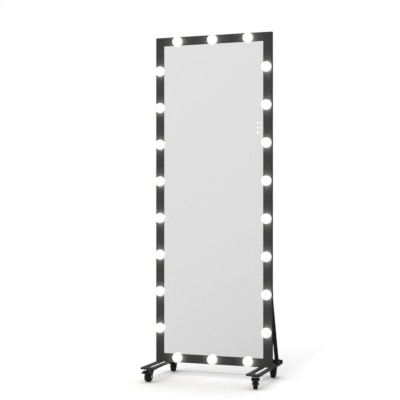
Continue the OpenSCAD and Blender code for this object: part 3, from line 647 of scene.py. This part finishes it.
@dataclass
class Shell:
    """Points and faces gathered for one piece."""

    points: list[np.ndarray] = field(default_factory=list)
    faces: list[list[int]] = field(default_factory=list)
    finishes: list[int] = field(default_factory=list)
    count: int = 0
    crease: float = 35.0

    def add(self, patch: Patch, finish: int = 0) -> None:
        """Adds a patch.

        Args:
            patch: its points and faces.
            finish: number of the material that it takes.
        """
        points, faces = patch
        self.points.append(points)
        self.faces += [[self.count + i for i in face] for face in faces]
        self.finishes += [finish] * len(faces)
        self.count += len(points)

    def build(
        self, name: str, body: str, materials: list[Material], slot: str
    ) -> bpy.types.Object:
        """Makes the gathered patches one piece that rides on a body.

        Args:
            name: the piece's name.
            body: the body that carries it.
            materials: its materials, in the order of the patches' finish numbers.
            slot: the record's material slot of its finish; not used.

        Returns:
            The piece.
        """
        mesh = bpy.data.meshes.new(name)
        mesh.from_pydata(np.concatenate(self.points).tolist(), [], self.faces)
        mesh.validate()
        for material in materials:
            mesh.materials.append(material)
        mesh.polygons.foreach_set("material_index", self.finishes)
        mesh.shade_smooth()
        mesh.set_sharp_from_angle(angle=math.radians(self.crease))
        made = add_object(name, mesh)
        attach(made, body)
        log.info("%s: %d faces on %s", name, len(mesh.polygons), body)
        return made


def grid_faces(rows: int, columns: int, ring: bool = False) -> list[list[int]]:
    """Quads between the rows of a grid of points.

    Args:
        rows: number of rows.
        columns: points in a row.
        ring: whether the last row joins the first.

    Returns:
        Four point numbers for each quad.
    """
    row, column = np.indices((rows - (not ring), columns))
    after, beside = (row + 1) % rows, (column + 1) % columns
    corners = ((row, column), (row, beside), (after, beside), (after, column))
    quads = np.stack([r * columns + c for r, c in corners], axis=-1)
    return quads.reshape(-1, 4).tolist()


def sweep(
    path: np.ndarray, profile: np.ndarray, side: np.ndarray, lift: np.ndarray
) -> Patch:
    """Carries a closed profile along a path and closes both ends.

    A point is the path's point, plus the profile's first number along side, plus its
    second along lift. The profile runs anticlockwise when seen against the path.

    Args:
        path: points, one row each.
        profile: closed outline, one row a corner; or one such outline for each point.
        side: direction of the profile's first number, for each point or for all.
        lift: direction of its second number, for each point or for all.

    Returns:
        The points and the faces.
    """
    side, lift = (np.atleast_2d(way)[:, None] for way in (side, lift))
    points = path[:, None] + profile[..., :1] * side + profile[..., 1:] * lift
    count, around = points.shape[:2]
    faces = grid_faces(count, around)
    faces.append(list(range(around))[::-1])
    faces.append(list(range((count - 1) * around, count * around)))
    return points.reshape(-1, 3), faces


def arc(centre: Span, radius: float, start: float, end: float, steps: int) -> np.ndarray:
    """Points on a circle's arc: the centre plus the radius times cosine and sine.

    Args:
        centre: the circle's centre.
        radius: its radius.
        start: first angle in degrees.
        end: last angle in degrees.
        steps: number of points.

    Returns:
        The points, one row each.
    """
    angle = np.radians(np.linspace(start, end, steps))
    return centre + radius * np.column_stack([np.cos(angle), np.sin(angle)])


def headings(path: np.ndarray) -> np.ndarray:
    """Unit direction of a path at each of its points."""
    ahead = np.gradient(path, axis=0)
    return ahead / np.linalg.norm(ahead, axis=1)[:, None]


def upright(flat: np.ndarray, y: float) -> np.ndarray:
    """Stands a drawing, whose points are X and Z, up in the plane across Y at y."""
    return np.insert(flat, 1, y, axis=1)


# -------------------- mirror head


class Mark(Enum):
    """The signs on the touch keys, by what a key does."""

    LAMPS = "lamps"
    POWER = "power"
    TONE = "tone"
    MORE = "more"
    TIMER = "timer"
    LESS = "less"


@dataclass
class TouchKeys:
    """Six lit signs on the glass, in two columns of three.

    The last sizes, from ring_r on, are drawn on a disc of radius 1.
    """

    middle_x: float = 234.3 * MM
    middle_z: float = 1216 * MM
    pitch_x: float = 15.5 * MM
    pitch_z: float = 22 * MM
    radius: float = 4.4 * MM
    line: float = 0.85 * MM
    glass_y: float = -0.5 * MM
    proud: float = 0.05 * MM
    ring_r: float = 0.86
    gap_ring_r: float = 0.82
    lamp_r: float = 0.4
    cross_r: float = 0.8
    ray_count: int = 8
    ray_span: Span = (0.68, 1.0)
    hatch_pitch: float = 0.18
    hatch: tuple[float, ...] = (0.78, 0.76, 0.68, 0.5)

    def strokes(self, mark: Mark) -> list[np.ndarray]:
        """Lines of one sign, drawn on a disc of radius 1 about the origin.

        Args:
            mark: which sign.

        Returns:
            Each line's points, X across and Z up.
        """
        turns = np.linspace(0, 2 * math.pi, self.ray_count, endpoint=False)
        rays = [np.outer(self.ray_span, (math.cos(a), math.sin(a))) for a in turns]
        hatch = [
            np.array([[k * self.hatch_pitch, -h], [k * self.hatch_pitch, h]])
            for k, h in enumerate(self.hatch)
        ]
        across = np.array([[-self.cross_r, 0.0], [self.cross_r, 0.0]])
        ring = arc((0, 0), self.ring_r, 90, 450, 33)
        gap_ring = arc((0, 0), self.gap_ring_r, 125, 415, 29)
        return {
            Mark.LAMPS: [arc((0, 0), self.lamp_r, 0, 360, 25), *rays],
            Mark.POWER: [gap_ring, np.array([[0, 0.25], [0, 1.0]])],
            Mark.TONE: [ring, *hatch],
            Mark.MORE: [across, across[:, ::-1]],
            Mark.TIMER: [ring, np.array([[0, 0.55], [0, 0], [0.4, -0.25]])],
            Mark.LESS: [across],
        }[mark]

    def stroke(self, line: np.ndarray, middle: Span) -> Patch:
        """One printed line: a flat band, square across, that follows its points.

        Args:
            line: the points, on a disc of radius 1.
            middle: X and Z of the sign's middle.

        Returns:
            The points and the faces.
        """
        flat = line * self.radius
        side = upright(headings(flat)[:, ::-1] * (-1, 1), 0.0)
        half = self.line / 2
        band = np.array([[-half, 0], [half, 0], [half, self.proud], [-half, self.proud]])
        return sweep(upright(flat + middle, self.glass_y), band[::-1], side, -Y_AXIS)

    def build(self, material: Material) -> None:
        """Prints all six signs as one piece on the frame's body.

        Args:
            material: the lit print.
        """
        shell = Shell()
        for number, mark in enumerate(Mark):
            x = self.middle_x + (number // 3 - 0.5) * self.pitch_x
            z = self.middle_z + (1 - number % 3) * self.pitch_z
            for line in self.strokes(mark):
                shell.add(self.stroke(line, (x, z)))
        shell.build("touch_symbols", "frame_and_base", [material], SYMBOL.slot)


# -------------------- feet


@dataclass
class FootWelds:
    """Weld beads between a foot's bars and its ties, on the slot's side and on top."""

    foot_x: float = 263.5 * MM
    bar_x: float = 24 * MM
    bar_w: float = 20 * MM
    top_z: float = 72 * MM
    joint_y: float = 175 * MM
    corner_r: float = 2 * MM
    bead_r: float = 1.05 * MM
    sunk: float = 0.55 * MM
    drop: float = 8 * MM
    margin: float = 1.5 * MM
    ripple: float = 1.1 * MM
    swell: float = 0.12
    tip: float = 0.5

    def bead(self, side: int, bar: int, end: int) -> Patch:
        """One bead: a round bar along the bar's end, whose radius swells at each ripple.

        The path climbs the bar's side over the slot, rounds its corner and runs along its
        top. The radius is bead_r times 1 + swell times the sine of the way along it.

        Args:
            side: -1 for the left foot, 1 for the right.
            bar: -1 for the foot's left bar, 1 for its right.
            end: -1 for the front, 1 for the rear.

        Returns:
            The points and the faces.
        """
        half, top = self.bar_w / 2 - self.sunk, self.top_z - self.sunk
        corner = arc((half - self.corner_r, top - self.corner_r), self.corner_r, 0, 90, 7)
        climb = np.linspace((half, self.top_z - self.drop), corner[0], 9)
        along = np.linspace(corner[-1], (self.margin - half, top), 24)
        flat = np.concatenate([climb[:-1], corner[:-1], along])
        bar_at = (side * self.foot_x + bar * self.bar_x, 0.0)
        path = upright(flat * (-bar, 1) + bar_at, end * self.joint_y)
        way = np.cumsum(np.linalg.norm(np.diff(path, axis=0, prepend=path[:1]), axis=1))
        size = 1 + self.swell * np.sin(2 * np.pi * way / self.ripple)
        size[[0, -1]] = self.tip
        section = size[:, None, None] * arc((0, 0), self.bead_r, 330, 0, 12)
        return sweep(path, section, Y_AXIS, np.cross(headings(path), Y_AXIS))

    def build(self, material: Material) -> None:
        """Lays all eight beads as one piece.

        Args:
            material: the frame's paint.
        """
        shell = Shell()
        for side, bar, end in product((-1, 1), repeat=3):
            shell.add(self.bead(side, bar, end))
        shell.build("foot_welds", "frame_and_base", [material], POWDER.slot)


# -------------------- casters


@dataclass
class Caster:
    """The dressed parts of one caster, drawn about its swivel axis and turned."""

    name: str
    x: float
    y: float
    yaw: float
    trail: float = 16 * MM
    wheel_r: float = 25 * MM
    wheel_w: float = 22 * MM
    hub_w: float = 23.4 * MM
    hub_r: float = 7.5 * MM
    bore_r: float = 3.05 * MM
    rim_r: float = 18 * MM
    web_w: float = 6 * MM
    rib_count: int = 6
    segments: int = 72
    shoulder_r: float = 4 * MM
    line_r: float = 0.25 * MM
    seat_t: float = 1.6 * MM
    seat_step: float = 0.5 * MM
    rim_inset: float = 0.7 * MM
    rim_chamfer: float = 0.4 * MM
    hub_chamfer: float = 0.6 * MM
    fillet_r: float = 1.5 * MM
    rib_overlap: Span = (0.8 * MM, 0.6 * MM)
    rib_inset: Span = (0.5 * MM, 2.4 * MM)
    rib_half: Span = (1.1 * MM, 0.7 * MM)
    worn_depth: float = 2 * MM
    tread_y: float = -28 * MM
    tread_z: float = 54.5 * MM
    tread_t: float = 1.5 * MM
    tread_slope: float = 20.0
    grip_l: float = 31 * MM
    grip_at: Point = (8 * MM, 12 * MM, 16 * MM)
    grip_half: float = 0.9 * MM
    grip_h: float = 0.6 * MM
    grip_sunk: float = 0.3 * MM

    @property
    def centre(self) -> np.ndarray:
        """The wheel's centre, as the caster is drawn."""
        return np.array([0.0, -self.trail, self.wheel_r])

    def turned(self, points: np.ndarray) -> np.ndarray:
        """Turns points by the yaw about Z and moves them to the swivel axis.

        Args:
            points: points about the swivel axis, as the caster is drawn.

        Returns:
            The points in place.
        """
        angle = math.radians(self.yaw)
        c, s = math.cos(angle), math.sin(angle)
        turn = np.array([[c, -s, 0.0], [s, c, 0.0], [0.0, 0.0, 1.0]])
        return points @ turn.T + np.array([self.x, self.y, 0.0])

    def add(self, shell: Shell, patch: Patch, finish: int = 0) -> None:
        """Adds a patch, drawn about the swivel axis, to a shell in its true place."""
        shell.add((self.turned(patch[0]), patch[1]), finish)

    def tyre_profile(self) -> np.ndarray:
        """Outline of the tyre, anticlockwise.

        Rounded shoulders, a flat tread with a fine moulding line in its middle, and a
        step in each side where the tyre overlaps the rim.

        Returns:
            Radius and place along the axle of each corner.
        """
        half, r, line = self.wheel_w / 2, self.wheel_r, self.line_r
        round_r, step, seat = self.shoulder_r, self.seat_step, self.rim_r + self.seat_t
        low = arc((r - round_r, round_r - half), round_r, -90, 0, 9)
        high = arc((r - round_r, half - round_r), round_r, 0, 90, 9)
        middle = [[r, -line], [r - line, 0], [r, line]]
        top = np.array([[seat + step, half], [seat, half - step]])
        return np.concatenate([low, middle, high, top, top[::-1] * (1, -1)])

    def hub_profile(self) -> np.ndarray:
        """Outline of the moulded hub: a rim, a thin web with fillets, and a boss.

        Returns:
            Radius and place along the axle of each corner.
        """
        half_rim, half_hub = self.wheel_w / 2 - self.rim_inset, self.hub_w / 2
        blunt, edge, fillet = self.hub_chamfer, self.rim_chamfer, self.fillet_r
        foot = self.web_w / 2 + fillet
        upper = np.concatenate([
            [[self.bore_r, half_hub], [self.hub_r - blunt, half_hub],
             [self.hub_r, half_hub - blunt]],
            arc((self.hub_r + fillet, foot), fillet, 180, 270, 5),
            arc((self.rim_r - fillet, foot), fillet, 270, 360, 5),
            [[self.rim_r, half_rim - edge], [self.rim_r + edge, half_rim],
             [self.rim_r + self.seat_t, half_rim]],
        ])
        return np.concatenate([upper, upper[::-1] * (1, -1)])[::-1]

    def ring(self, profile: np.ndarray) -> Patch:
        """Turns a closed profile round the axle, which runs along X.

        A point is the wheel's centre, plus the profile's second number along X, plus its
        first number along the direction that turns from Z towards -Y.

        Args:
            profile: radius and place along the axle of each corner, all round.

        Returns:
            The points, as the caster is drawn, and the faces.
        """
        turn = np.linspace(0, 2 * np.pi, self.segments, endpoint=False)[:, None, None]
        out = np.cos(turn) * Z_AXIS - np.sin(turn) * Y_AXIS
        points = self.centre + profile[:, :1] * out + profile[:, 1:] * X_AXIS
        return points.reshape(-1, 3), grid_faces(self.segments, len(profile), ring=True)

    def rib(self, number: int, face: int) -> Patch:
        """One rib of the hub: a low wall from boss to rim, thinner towards its crest.

        Its section is a narrow trapezium, carried outwards along a radius of the wheel.

        Args:
            number: which rib, counted round the axle.
            face: -1 or 1, the side of the web that it stands on.

        Returns:
            The points, as the caster is drawn, and the faces.
        """
        turn = 2 * math.pi * number / self.rib_count
        out = np.array([0.0, math.cos(turn), math.sin(turn)])
        inner, outer = self.rib_overlap
        reach = np.linspace(self.hub_r - inner, self.rim_r + outer, 8)
        foot = self.web_w / 2 - self.rib_inset[0]
        crest = self.wheel_w / 2 - self.rib_inset[1]
        wide, narrow = self.rib_half
        wall = np.array([[-wide, foot], [wide, foot], [narrow, crest], [-narrow, crest]])
        wall = (wall * (1, face))[::face]
        path = self.centre + reach[:, None] * out
        return sweep(path, wall, np.cross(X_AXIS, out), X_AXIS)

    def build_wheel(self, hub: Material, tyre: Material) -> None:
        """Builds hub and tyre, which stand for the plain wheel.

        Args:
            hub: the moulded hub's material.
            tyre: the tyre's material.
        """
        shell = Shell()
        self.add(shell, self.ring(self.tyre_profile()), 1)
        self.add(shell, self.ring(self.hub_profile()))
        for number, face in product(range(self.rib_count), (-1, 1)):
            self.add(shell, self.rib(number, face))
        made = shell.build(
            f"{self.name}_dressed_wheel", f"{self.name}_roller", [hub, tyre], TYRE.slot
        )
        self.mark_tread(made)
        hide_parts(f"{self.name}_wheel")

    def build_grip(self, steel: Material) -> None:
        """Presses three low ribs across the brake pedal's tread.

        Each rib is a flat half round that tapers to nothing at both ends: its section is
        scaled by the fourth root of 1 minus the fourth power of the way from its middle.

        Args:
            steel: the pedal's material.
        """
        slope = math.radians(self.tread_slope)
        down = np.array([0.0, -math.cos(slope), -math.sin(slope)])
        up = np.array([0.0, -math.sin(slope), math.cos(slope)])
        way = np.linspace(-0.995, 0.995, 25)  # The ends themselves would be nothing.
        size = (1 - way**4) ** 0.25
        crest = arc((0, 0), 1.0, 0, 180, 9) * (self.grip_half, self.grip_h)
        skirt = [[-self.grip_half, -self.grip_sunk], [self.grip_half, -self.grip_sunk]]
        section = size[:, None, None] * np.concatenate([crest, skirt])[::-1]
        tread = np.array([0.0, self.tread_y, self.tread_z]) + self.tread_t / 2 * up
        across = way[:, None] * (self.grip_l / 2 * X_AXIS)
        shell = Shell()
        for reach in self.grip_at:
            self.add(shell, sweep(tread + reach * down + across, section, down, up))
        shell.build(
            f"{self.name}_pedal_ribs", f"{self.name}_brake", [steel], CASTER_STEEL.slot
        )

    def mark_tread(self, made: bpy.types.Object) -> None:
        """Writes the tread attribute: 1 on the rolling face, 0 inside the shoulders.

        It grows from 0 to 1 over the last worn_depth of the wheel's radius.

        Args:
            made: the wheel.
        """
        mesh = made.data
        points = np.zeros(len(mesh.vertices) * 3)
        mesh.vertices.foreach_get("co", points)
        centre, beside = self.turned(np.array([self.centre, self.centre + X_AXIS]))
        offset = points.reshape(-1, 3) - centre
        radial = np.linalg.norm(np.cross(offset, beside - centre), axis=1)
        share = np.clip((radial - self.wheel_r) / self.worn_depth + 1, 0, 1)
        attribute = mesh.attributes.new("tread", "FLOAT", "POINT")
        attribute.data.foreach_set("value", share.astype(np.float32))

    def build(self, paints: dict[str, Material]) -> None:
        """Dresses this caster's solids and builds its wheel.

        Args:
            paints: the materials by name.
        """
        for node in ("plate", "fork", "pedal"):
            dress(f"{self.name}_{node}", paints["caster_steel"])
        dress(f"{self.name}_axle", paints["bright_zinc"])
        dress(f"{self.name}_wheel", paints["nylon"])
        self.build_wheel(paints["nylon"], paints["tyre"])
        self.build_grip(paints["caster_steel"])


CASTERS = (
    Caster("front_left", -263.5 * MM, -156 * MM, 352),
    Caster("front_right", 263.5 * MM, -156 * MM, 17),
    Caster("rear_left", -263.5 * MM, 156 * MM, 8),
    Caster("rear_right", 263.5 * MM, 156 * MM, 4),
)


def dress(node: str, material: Material) -> None:
    """Gives a CAD node a material in place of its own.

    Args:
        node: the node's name.
        material: its new material.
    """
    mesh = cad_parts[node].data
    mesh.materials.clear()
    mesh.materials.append(material)


# -------------------- studio


@dataclass
class SoftSun:
    """A broad far lamp that mirrors don't show and that doesn't fade across the floor."""

    name: str
    azimuth: float
    elevation: float
    spread: float
    strength: float

    def build(self) -> None:
        """Hangs the lamp. Azimuth 0 shines from the front, 90 from the right."""
        light = bpy.data.lights.new(self.name, "SUN")
        light.energy, light.angle = self.strength, math.radians(self.spread)
        lamp = add_object(self.name, light)
        lamp.visible_glossy = False
        lamp.rotation_euler = (
            math.radians(90 - self.elevation), 0.0, math.radians(self.azimuth)
        )


@dataclass
class GlobeLight:
    """The light that the lit globes throw on the frame, the glass and the floor.

    Each globe is wrapped in two lamps of its own shape, a hair larger, that only matt
    surfaces see, so that what shows of a globe is its own opal skin. One lights all but
    the globes and the floor; the other lights the floor alone, with only floor_share of
    the light, so that the floor stays below white.
    """

    half_w: float = 273 * MM
    low_z: float = 238.5 * MM
    high_z: float = 1505.5 * MM
    rows: int = 8
    rail_pitch: float = 181 * MM
    rail_z: Span = (96.5 * MM, 1647.5 * MM)
    y: float = -10.5 * MM
    radius: float = 25.4 * MM
    radiance: float = 10.0
    floor_share: float = 0.4
    tint: Rgb = (1.0, 0.965, 0.87)

    def places(self) -> np.ndarray:
        """Centres of all globes: both columns, then both rows.

        Returns:
            X, Y and Z of each centre.
        """
        column = np.linspace(self.low_z, self.high_z, self.rows)
        row = self.rail_pitch * np.arange(-1, 2)
        points = [(side * self.half_w, z) for side in (-1, 1) for z in column]
        points += [(x, z) for z in self.rail_z for x in row]
        return upright(np.array(points), self.y)

    def hang(
        self, name: str, share: float, state: str, objects: list[bpy.types.Object]
    ) -> None:
        """Hangs one lamp in each globe.

        A round lamp's power is its radiance times 4 pi squared times its radius squared.

        Args:
            name: what the lamps are called.
            share: their radiance as a share of a globe's.
            state: INCLUDE to light only the objects, EXCLUDE to light all but them.
            objects: the objects.
        """
        light = bpy.data.lights.new(name, "POINT")
        light.energy = share * self.radiance * (2 * math.pi * self.radius) ** 2
        light.color, light.shadow_soft_size = self.tint, self.radius
        light.use_soft_falloff = False
        group = bpy.data.collections.new(name)
        for piece in objects:
            group.objects.link(piece)
        for member in group.collection_objects:
            member.light_linking.link_state = state
        for number, place in enumerate(self.places()):
            lamp = add_object(f"{name}_{number}", light)
            lamp.location = place
            lamp.light_linking.receiver_collection = group
            lamp.visible_camera = lamp.visible_glossy = lamp.visible_transmission = False

    def build(self, floor: bpy.types.Object) -> None:
        """Lights what stands round the globes, and the floor with a share of it.

        Args:
            floor: the floor.
        """
        opal = [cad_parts[node] for node in CAD_FINISHES[OPAL]]
        self.hang("globe_light", 1.0, "EXCLUDE", [*opal, floor])
        self.hang("globe_floor_light", self.floor_share, "INCLUDE", [floor])


@dataclass
class Studio:
    """A white floor and sky, soft lamps, and the camera of the photograph.

    A loss or a lift is what is taken from or added to the white, and a span holds the
    places between which it grows from none to full.
    """

    ambient: float = 0.75
    ambient_tilt: float = 0.5
    horizon: float = 0.957
    sky_rise: float = 0.22
    sky_behind: Span = (-0.1, 0.8)
    sky_loss: float = 0.75
    side_middle: float = 0.33
    side_loss: float = 0.205
    side_reach: float = 0.5
    floor_reach: float = 80.0
    floor_white: float = 0.80
    floor_bounce: float = 0.36
    bounce_reach: float = 1.1
    floor_lift: float = 0.185
    # The next span and lift paint light on the floor to the right of the object, which
    # clears its shadow there.
    right_painted_light_span: Span = (0.26, 0.36)
    right_painted_light: float = 0.09
    mirrored_lift: float = 0.108
    floor_behind: Span = (0.1, 0.6)
    floor_loss: float = 0.9
    near_loss: float = 0.066
    near_reach: float = 4.83
    sensor: float = 36.0
    camera_at: Point = (1.6055, -4.5555, 0.8756)
    camera_turn: float = 20.155
    lens: float = 89.49
    shift_y: float = -0.0025
    lamps: tuple[SoftSun, ...] = (
        SoftSun("overhead", 178.0, 80.5, 14.0, 0.75),
        SoftSun("front", -25.0, 35.0, 60.0, 0.45),
    )

    @staticmethod
    def rays(sheet: Sheet) -> tuple[Wire, Wire]:
        """Which rays show the background.

        Args:
            sheet: the node tree that asks.

        Returns:
            1 for rays straight from the camera, and 1 for those that have only been
            mirrored or let through since.
        """
        kinds = ("Is Camera Ray", "Is Glossy Ray", "Is Transmission Ray", "Diffuse Depth")
        direct, glossy, passed, matt = (
            sheet.wire("LightPath", output=kind) for kind in kinds
        )
        mirrored = glossy.maths("MAXIMUM", passed) * (1 - matt.maths("MINIMUM", 1.0))
        return direct, mirrored

    def build_world(self) -> None:
        """Makes the sky: white where it is seen, dimmer as a source of light.

        What mirrors show of it is a little brighter above the horizon and on the left,
        and darker behind the object.
        """
        world = bpy.data.worlds.new("studio")
        world.use_nodes = True
        bpy.context.scene.world = world
        sheet = Sheet(world.node_tree)
        direct, mirrored = self.rays(sheet)
        x, y, z = sheet.axes("Generated")
        aside = (x + self.side_middle) * self.side_loss
        behind = y.step(*self.sky_behind) * self.sky_loss
        shown = self.horizon + z * self.sky_rise - aside - behind
        ambient = (1 - x * self.ambient_tilt) * self.ambient
        unseen = mirrored * shown + (1 - mirrored) * ambient
        strength = direct + (1 - direct) * unseen
        sky = sheet.wire(
            "Background", inputs={"Color": (1, 1, 1, 1), "Strength": strength}
        )
        sheet.node("OutputWorld", inputs={"Surface": sky})

    def build_floor(self) -> bpy.types.Object:
        """Lays the floor, which takes shadows and is lifted to white where it is seen.

        The camera sees it lifted by floor_lift, and to the right of the object by a
        further lift that is painted light, which clears the object's shadow there.
        Mirrors see it lifted by mirrored_lift, less two losses: near_loss times
        near_reach over near_reach plus the distance, and side_loss times the sum of
        side_middle and X over the distance plus side_reach. Behind the object it is dark
        to mirrors, as the sky is. What it throws back on matt surfaces grows from none
        under the object to floor_bounce at bounce_reach.

        Returns:
            The floor.
        """
        reach = self.floor_reach
        mesh = bpy.data.meshes.new("studio_floor")
        corners = ((-reach, -reach), (reach, -reach), (reach, reach), (-reach, reach))
        mesh.from_pydata([(x, y, 0) for x, y in corners], [], [[0, 1, 2, 3]])
        material = bpy.data.materials.new("studio_floor")
        material.use_nodes = True
        sheet = Sheet(material.node_tree)
        direct, mirrored = self.rays(sheet)
        x, y, _ = sheet.axes()
        at = sheet.coordinates()
        away = sheet.wire("VectorMath", {"operation": "LENGTH"}, {0: at}, output="Value")
        near = (away + self.near_reach) ** -1.0 * (self.near_loss * self.near_reach)
        sideways = x * (away + self.side_reach) ** -1.0
        aside = (sideways + self.side_middle) * self.side_loss
        ahead = mirrored * (1 - y.step(*self.floor_behind) * self.floor_loss)
        # Painted light: the floor to the right of the object is lifted further, which
        # clears its shadow there.
        seen_lift_and_painted_light = x.step(*self.right_painted_light_span) * self.right_painted_light + self.floor_lift
        lift = direct * seen_lift_and_painted_light + ahead * (self.mirrored_lift - near - aside)
        white = (direct + ahead) * self.floor_white
        bounce = away.step(0.0, self.bounce_reach) * self.floor_bounce
        level = white + (1 - direct - mirrored) * bounce
        color = sheet.blend(level, (0.0,) * 3, (1.0,) * 3)
        matt = sheet.wire("BsdfDiffuse", inputs={"Color": color})
        glow = sheet.wire("Emission", inputs={"Strength": lift})
        both = sheet.wire("AddShader", inputs={0: matt, 1: glow})
        sheet.node("OutputMaterial", inputs={"Surface": both})
        mesh.materials.append(material)
        floor = add_object("studio_floor", mesh)
        return floor

    def build_camera(self) -> None:
        """Sets the camera at the photograph's place and lens."""
        data = bpy.data.cameras.new("camera")
        data.sensor_width, data.lens, data.shift_y = self.sensor, self.lens, self.shift_y
        camera = add_object("camera", data)
        camera.location = self.camera_at
        camera.rotation_euler = (math.radians(90), 0.0, math.radians(self.camera_turn))
        bpy.context.scene.camera = camera

    def build(self) -> None:
        """Builds the whole studio."""
        bpy.context.scene.view_settings.view_transform = "Standard"
        self.build_world()
        floor = self.build_floor()
        self.build_camera()
        for lamp in self.lamps:
            lamp.build()
        GlobeLight().build(floor)


# -------------------- main


def make_paints() -> dict[str, Material]:
    """Makes the materials of the pieces that aren't dressed by node.

    Returns:
        The materials by name.
    """
    named = {
        "powder_coat": POWDER,
        "bright_zinc": ZINC,
        "caster_steel": CASTER_STEEL,
        "nylon": NYLON,
        "tyre": TYRE,
        "symbol": SYMBOL,
    }
    return {name: finish.material(name) for name, finish in named.items()}


def dress_solids(paints: dict[str, Material]) -> None:
    """Gives each CAD node outside the casters its finish.

    Args:
        paints: the materials by name.
    """
    for finish, nodes in CAD_FINISHES.items():
        material = paints.get(finish.slot) or finish.material(finish.slot)
        for node in nodes:
            dress(node, material)
        log.info("%s: %d solids' nodes", finish.slot, len(nodes))


def main() -> None:
    """Builds the studio and dresses the mirror."""
    logging.basicConfig(level=logging.INFO, format="%(name)s: %(message)s")
    Studio().build()
    paints = make_paints()
    dress_solids(paints)
    TouchKeys().build(paints["symbol"])
    FootWelds().build(paints["powder_coat"])
    for caster in CASTERS:
        caster.build(paints)


if __name__ == "__main__":
    main()
